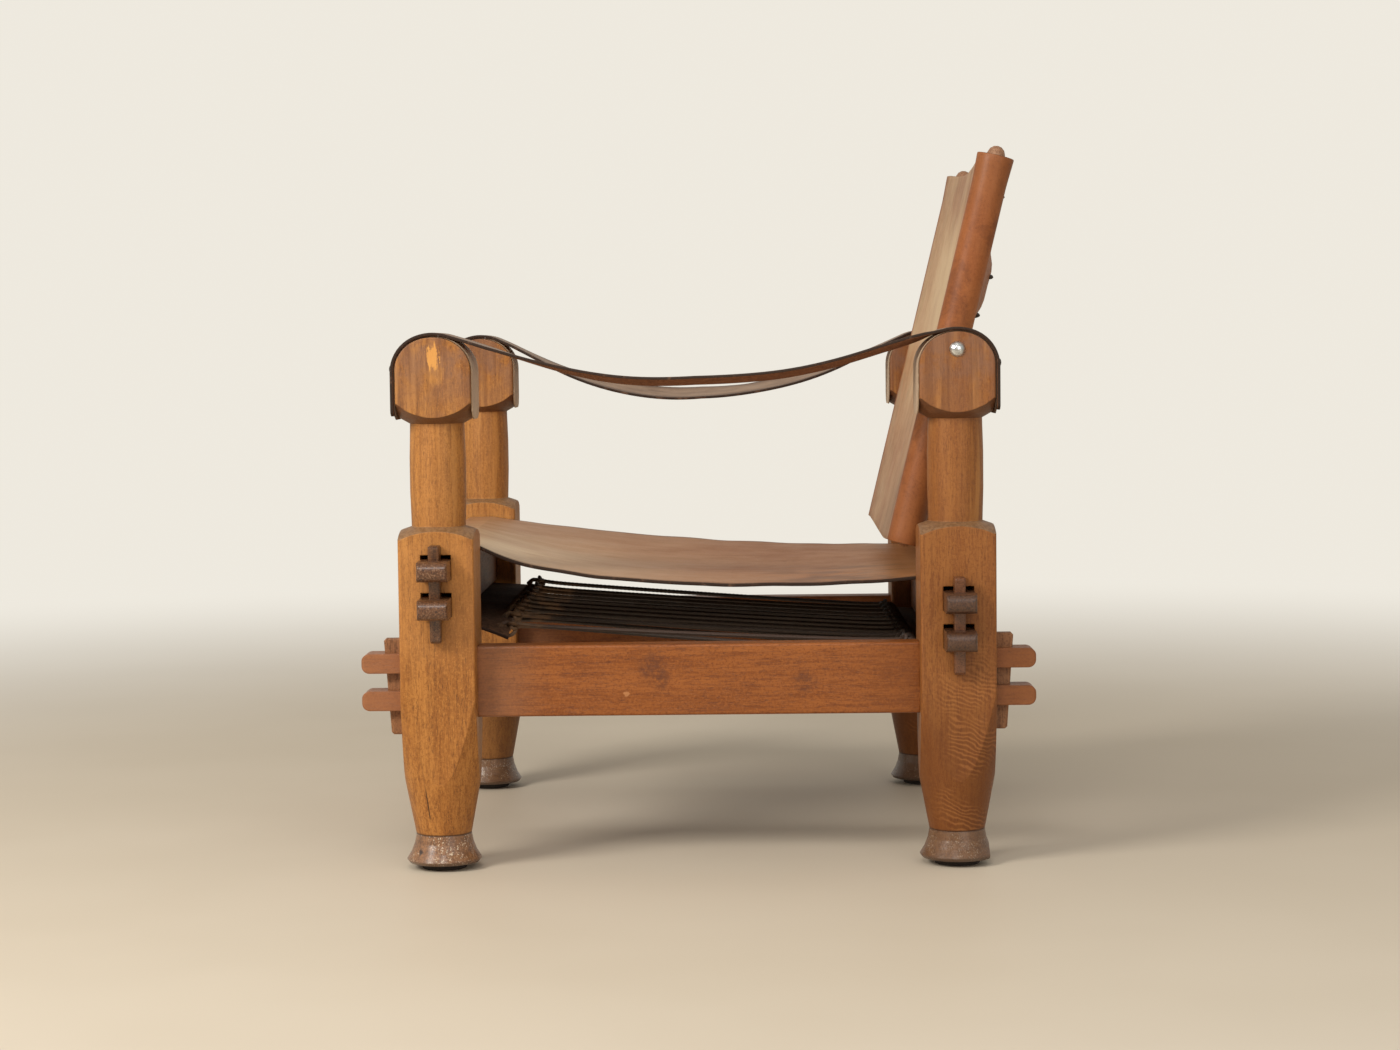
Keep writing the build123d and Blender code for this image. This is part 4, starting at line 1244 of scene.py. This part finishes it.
lace_up(
    "back_cord",
    "back_lacing",
    pivot + back_out * sleeve_radius,
    Vector((1, 0, 0)),
    back_out,
    {
        "span": 2 * (flap_edge + lace_margin),
        "pitch": (back_length - 2 * back_lace_edge) / (back_lace_runs - 1),
        "runs": back_lace_runs,
        "loop": 0.0043,
        "shift": follow_back_flaps,
    },
    "backrest",
    False,
)


# Pads: a thin strip of grey-brown leather lies over each head, under the arm strap, so that
# the strap doesn't rub the wood.
crown_radius = 0.046
crown_angle = 25
crown_sine = sin(radians(crown_angle))
crown_turn = 90 - crown_angle
haunch_radius = (post_half - crown_radius * crown_sine) / (1 - crown_sine)
haunch_offset = (crown_radius - haunch_radius) * crown_sine
crown_height = head_top - crown_radius
haunch_height = crown_height + (crown_radius - haunch_radius) * cos(radians(crown_angle))
pad_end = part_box("head_pad_front_left")[0].z
pad_thickness = 0.0012
pad_half = 0.037
pad_corner = 0.016
pad_columns = 14
pad_end_rows = 14
haunch_rows = 9
pad_map_shift = (0.31, 0.53)


def over_head(gap, end_height, rows):
    """Line over a head at a gap from the wood, down to one height on both sides."""
    side = post_half + gap
    haunch = haunch_radius + gap
    return trace(
        (-side, end_height),
        ((-side, haunch_height), rows),
        ((-haunch_offset, haunch_height), haunch, 180, 180 - crown_turn, haunch_rows),
        ((0.0, crown_height), crown_radius + gap, 180 - crown_turn, crown_turn, haunch_rows),
        ((haunch_offset, haunch_height), haunch, crown_turn, 0, haunch_rows),
        ((side, end_height), rows),
    )


def rounded_share(to_end, corner, half):
    """Share of the half width left at a distance from a strip's rounded end."""
    if to_end >= corner:
        return 1.0
    return (half - corner + sqrt(max(0.0, corner**2 - (corner - to_end) ** 2))) / half


def make_strip(name, middle_x, line, half, thickness, materials, corner, columns, shape=None):
    """A strip of leather laid along a line in (y, z), its ends rounded."""
    lengths = run_lengths(line)
    rows = len(line) - 1

    def strip_place(column, row):
        share = 2 * column / columns - 1
        end_share = min(lengths[row], lengths[-1] - lengths[row])
        width = rounded_share(end_share, corner, half)
        point = Vector((middle_x + share * half * width, *line[row]))
        return shape(point, share) if shape else point

    strip = leather_blank(name, columns, rows)
    lay(strip, columns, rows, strip_place, 2 * half, lengths)
    thicken(strip, thickness, materials, thickness * 0.22)
    return strip, (2 * half, lengths[-1])


def shade_under_strap(place, colour):
    """The pad's edge is painted dark where the strap lies on it, on the outer half of each head:
    painted shade.
    """
    covered = place.part("Y").size().between(post_reach - 0.030, post_reach + 0.006)
    # Painted shade on the pad's edge under the strap.
    return (covered * 0.92).mix(colour, (0.050, 0.026, 0.016))


pad_shades = ((0.64, 0.490, 0.345), (0.54, 0.400, 0.273), (0.32, 0.222, 0.142))
pad_layers = (
    leather_finish("pad_grain", pad_shades, "V", 0.62, 0.10, 0.30),
    flesh_finish("pad_flesh", (0.30, 0.22, 0.16), (0.16, 0.11, 0.08)),
    edge_finish("pad_edge", (0.300, 0.200, 0.125), (0.46, 0.34, 0.23), shade_under_strap),
)
pad_line = over_head(leather_gap + pad_thickness / 2, pad_end, pad_end_rows)
first_pad, pad_flat = make_strip(
    "pad_pattern", 0.0, pad_line, pad_half, pad_thickness, pad_layers, pad_corner, pad_columns
)
for end, side in corners:
    place = Matrix.Translation((sides[side] * post_reach, ends[end] * post_reach, 0))
    pad = copy_of(first_pad, f"head_pad_{end}_{side}_leather", place)
    for loop in pad.data.uv_layers.active.data:
        loop.uv.x += sides[side] * pad_map_shift[0]
        loop.uv.y += ends[end] * pad_map_shift[1]
    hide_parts(f"head_pad_{end}_{side}")
    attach(pad, "frame")
bpy.data.objects.remove(first_pad)


# Arm straps: heavy leather straps from the front face over both heads to the rear face, where
# they are tacked. They hang slack between the heads and lean in towards the sitter.
strap_thickness = 0.0032
strap_half = 0.039
strap_corner = 0.006
strap_columns = 16
strap_end_rows = 12
crown_rows = 12
free_rows = 8
sag_rows = 40
strap_gap = leather_gap + pad_thickness + leather_gap + strap_thickness / 2
strap_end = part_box("arm_strap_left")[0].z
strap_hang = {
    "left": {"drop": 0.0485, "slope": 17, "lean": 0.0075, "dip": 0.0025, "curl": 0.0},
    "right": {"drop": 0.0685, "slope": 24, "lean": 0.0120, "dip": 0.0050, "curl": 0.0026},
}
strap_shades = ((0.27, 0.155, 0.092), (0.165, 0.085, 0.047), (0.066, 0.030, 0.016))
early_lean = (0.235, 2)
late_lean = (0.259, 14)
cup_depth = 0.0016
cup_reach = 0.235
dip_reach = 0.24
curl_spot = 0.055
curl_reach = 0.13


def strap_stations(drop, slope):
    """Middle line of a strap in (y, z), from its front end to its rear end."""
    rate = tan(radians(slope))
    slope_sine = sin(radians(slope))
    slope_cosine = cos(radians(slope))
    crown = crown_radius + strap_gap
    haunch = haunch_radius + strap_gap
    face = outer_face + strap_gap
    lowest = head_top - drop - strap_thickness / 2
    run = post_reach - crown * slope_sine
    fall = crown_height + crown * slope_cosine - lowest
    sag_radius = (run * rate - fall) / (rate * slope_sine - 1 + slope_cosine)
    sag_centre = (0, lowest + sag_radius)
    front_haunch = (-post_reach - haunch_offset, haunch_height)
    rear_haunch = (post_reach + haunch_offset, haunch_height)
    return trace(
        (-face, strap_end),
        ((-face, haunch_height), strap_end_rows),
        (front_haunch, haunch, 180, 180 - crown_turn, haunch_rows),
        ((-post_reach, crown_height), crown, 180 - crown_turn, 90 - slope, crown_rows),
        (turned(sag_centre, sag_radius, 270 - slope), free_rows),
        (sag_centre, sag_radius, 270 - slope, 270 + slope, sag_rows),
        (turned((post_reach, crown_height), crown, 90 + slope), free_rows),
        ((post_reach, crown_height), crown, 90 + slope, crown_turn, crown_rows),
        (rear_haunch, haunch, crown_turn, 0, haunch_rows),
        ((face, strap_end), strap_end_rows),
    )


def strap_marks(lie, colour):
    """Rubbed grey along the middle of the strap's top, dark at its edges."""
    across = (lie.part("X") - strap_half).size()
    scuffed = (lie * (1.0, 0.45, 1.0)).noise(42, 4, 0.65).between(0.22, 0.80)
    return colour.under(
        (across.between(0.026, 0.037) * 0.55, (0.045, 0.024, 0.016)),
        (scuffed * across.between(0.036, 0.014) * 0.80, (0.48, 0.310, 0.195)),
    )


strap_layers = (
    leather_finish("strap_grain", strap_shades, "V", 0.46, 0.20, 0.22, strap_marks),
    flesh_finish("strap_flesh", (0.290, 0.128, 0.062), (0.142, 0.057, 0.028)),
    burnished_edge,
)


def hang_of(way, lean, dip, curl):
    """Shape of one strap's hanging stretch; way is 1 on the left and -1 on the right."""

    def leaning(point, share):
        """Lean it towards the sitter, cup it, and let its front half dip."""
        reach, hold = late_lean if point.y > 0 and way > 0 else early_lean
        hanging = max(0.0, 1 - (abs(point.y) / reach) ** hold)
        hanging = hanging * hanging * (3 - 2 * hanging)
        free = max(0.0, 1 - (point.y / cup_reach) ** 2)
        curled = max(0.0, 1 - abs(point.y - curl_spot) / curl_reach)
        point.z += lean / 2 * way * share * hanging
        point.z += cup_depth * free * (share * share - 0.4)
        point.z += 0.0008 * free * sin(point.y * 31 + way)
        if -dip_reach < point.y < 0:
            point.z -= dip * sin(pi * -point.y / dip_reach)
        point.z -= curl * curled * curled * max(0.0, way * share)
        return point

    return leaning


for side, hang in strap_hang.items():
    line = strap_stations(hang["drop"], hang["slope"])
    shape = hang_of(sides[side], hang["lean"], hang["dip"], hang["curl"])
    strap, flat = make_strip(
        f"arm_strap_{side}_leather",
        sides[side] * post_reach,
        line,
        strap_half,
        strap_thickness,
        strap_layers,
        strap_corner,
        strap_columns,
        shape,
    )
    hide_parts(f"arm_strap_{side}")
    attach(strap, "frame")


# Tacks: two domed tacks pin each end of a strap and its pad to the post. They are blackened
# steel, and their shanks are driven into the wood, out of sight.
tack_steel, tack_shader, place = start_finish("blackened_steel", Metallic=0.85)
rubbed = place.noise(500, 3)
settle(
    tack_shader,
    Base_Color=rubbed.between(0.5, 0.7).mix((0.030, 0.026, 0.024), (0.16, 0.14, 0.12)),
    Roughness=0.36 + 0.25 * rubbed,
)
tack_radius = 0.0045
tack_rise = 0.0023
tack_spread = 0.044
tack_clearance = 0.0001
tack_out = outer_face + strap_gap + strap_thickness / 2 + tack_clearance


def make_tack_head():
    """A domed head facing +y: a ball cut off flat, flattened to its rise, eased at the rim."""
    clear_selection()
    bpy.ops.mesh.primitive_uv_sphere_add(segments=28, ring_count=16, radius=tack_radius)
    head = bpy.context.object
    bpy.ops.object.mode_set(mode="EDIT")
    bpy.ops.mesh.select_all(action="SELECT")
    bpy.ops.mesh.bisect(plane_co=(0, 0, 0), plane_no=(0, 1, 0), use_fill=True, clear_inner=True)
    bpy.ops.mesh.select_all(action="SELECT")
    bpy.ops.transform.resize(value=(1, tack_rise / tack_radius, 1), center_override=(0, 0, 0))
    bpy.ops.object.mode_set(mode="OBJECT")
    ease_edges(head, tack_radius * 0.08, 50)
    bpy.ops.object.shade_smooth_by_angle(angle=radians(40))
    head.data.materials.append(tack_steel)
    return head


first_tack = make_tack_head()
for end, side in corners:
    tack_low, tack_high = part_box(f"strap_tacks_{end}_{side}")
    tack_height = (tack_low.z + tack_high.z) / 2
    turn = Matrix.Rotation(0 if end == "rear" else pi, 4, "Z")
    heads = []
    for shift in (-tack_spread / 2, tack_spread / 2):
        centre = (sides[side] * post_reach + shift, ends[end] * tack_out, tack_height)
        move = Matrix.Translation(centre) @ turn
        heads.append(copy_of(first_tack, f"tack_heads_{end}_{side}", move))
    tacks = join_up(heads)
    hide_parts(f"strap_tacks_{end}_{side}")
    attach(tacks, "frame")
bpy.data.objects.remove(first_tack)


# Pivot bolts: bright zinc domed bolts through the rear heads. Each has a spacer between head
# and pole, and a washer and a cap nut on the inner side of the pole.
zinc, zinc_shader, place = start_finish("bright_zinc", Metallic=1.0)
spangle = place.noise(260, 3, 0.6)
soft, rounded = softened(place, 0.0012)
settle(
    zinc_shader,
    Base_Color=spangle.between(0.35, 0.65).mix((0.55, 0.57, 0.58), (0.80, 0.82, 0.82)),
    Roughness=0.16 + 0.22 * spangle,
    Normal=place.noise(900, 2).raised(0.15, 0.0003, soft),
)
for side in sides:
    for fitting in ("pivot_bolt", "pivot_spacer", "pivot_washer", "cap_nut"):
        paint(f"{fitting}_{side}", zinc)


# Floor and light: a plain pale floor under a pale even sky, with a large soft lamp high to the
# front of the chair and two weaker ones beside and above the camera.
clear_selection()
bpy.ops.mesh.primitive_plane_add(size=24, location=(0, 0, 0))
studio_floor = bpy.context.object
studio_floor.name = "studio_floor"
floor_finish, floor_shader, place = start_finish("pale_floor", Roughness=0.6)
tone = place.noise(3, 2).between(0.3, 0.7)
settle(floor_shader, Base_Color=tone.mix((0.655, 0.565, 0.445), (0.675, 0.585, 0.465)))
sky_colour = (0.857, 0.817, 0.735)
tree = place.tree
seen = Signal(tree, tree.nodes.new("ShaderNodeLightPath").outputs["Is Camera Ray"])
distant = seen * (place * (1.0, 1.0, 0.0)).length().between(0.75, 3.4)
glow = place.node("Emission", {"Color": (*sky_colour, 1), "Strength": 1.0})
lit_floor = Signal(tree, floor_shader.outputs[0])
floor_look = place.node("MixShader", {0: distant, 1: lit_floor, 2: glow})
tree.links.new(floor_look.socket, tree.nodes["Material Output"].inputs["Surface"])
studio_floor.data.materials.append(floor_finish)

world = bpy.data.worlds.new("studio")
bpy.context.scene.world = world
world.use_nodes = True
sky = world.node_tree.nodes["Background"]
light_path = world.node_tree.nodes.new("ShaderNodeLightPath")
seen, glossy, clear = (
    Signal(world.node_tree, light_path.outputs[f"Is {kind} Ray"])
    for kind in ("Camera", "Glossy", "Transmission")
)
sky.inputs["Color"].default_value = (*sky_colour, 1)
sky_light = 0.52 + 0.48 * (seen + clear) + 0.08 * glossy
world.node_tree.links.new(sky_light.socket, sky.inputs["Strength"])
chair_middle = Vector((0, 0, 0.35))


def hang_lamp(name, spot, size, watts, colour):
    """A square soft lamp at a spot, turned to the middle of the chair."""
    data = bpy.data.lights.new(name, "AREA")
    data.size = size
    data.energy = watts
    data.color = colour
    lamp = bpy.data.objects.new(name, data)
    lamp.location = spot
    lamp.rotation_euler = (chair_middle - Vector(spot)).to_track_quat("-Z", "Y").to_euler()
    bpy.context.scene.collection.objects.link(lamp)


hang_lamp("key", (2.1, -2.2, 2.0), 1.1, 72, (1.0, 0.965, 0.90))
hang_lamp("fill", (3.2, 1.6, 1.5), 2.0, 18, (1.0, 0.98, 0.95))
hang_lamp("over", (2.6, -0.3, 2.4), 0.9, 22, (1.0, 0.98, 0.95))
bpy.context.scene.view_settings.view_transform = "Standard"
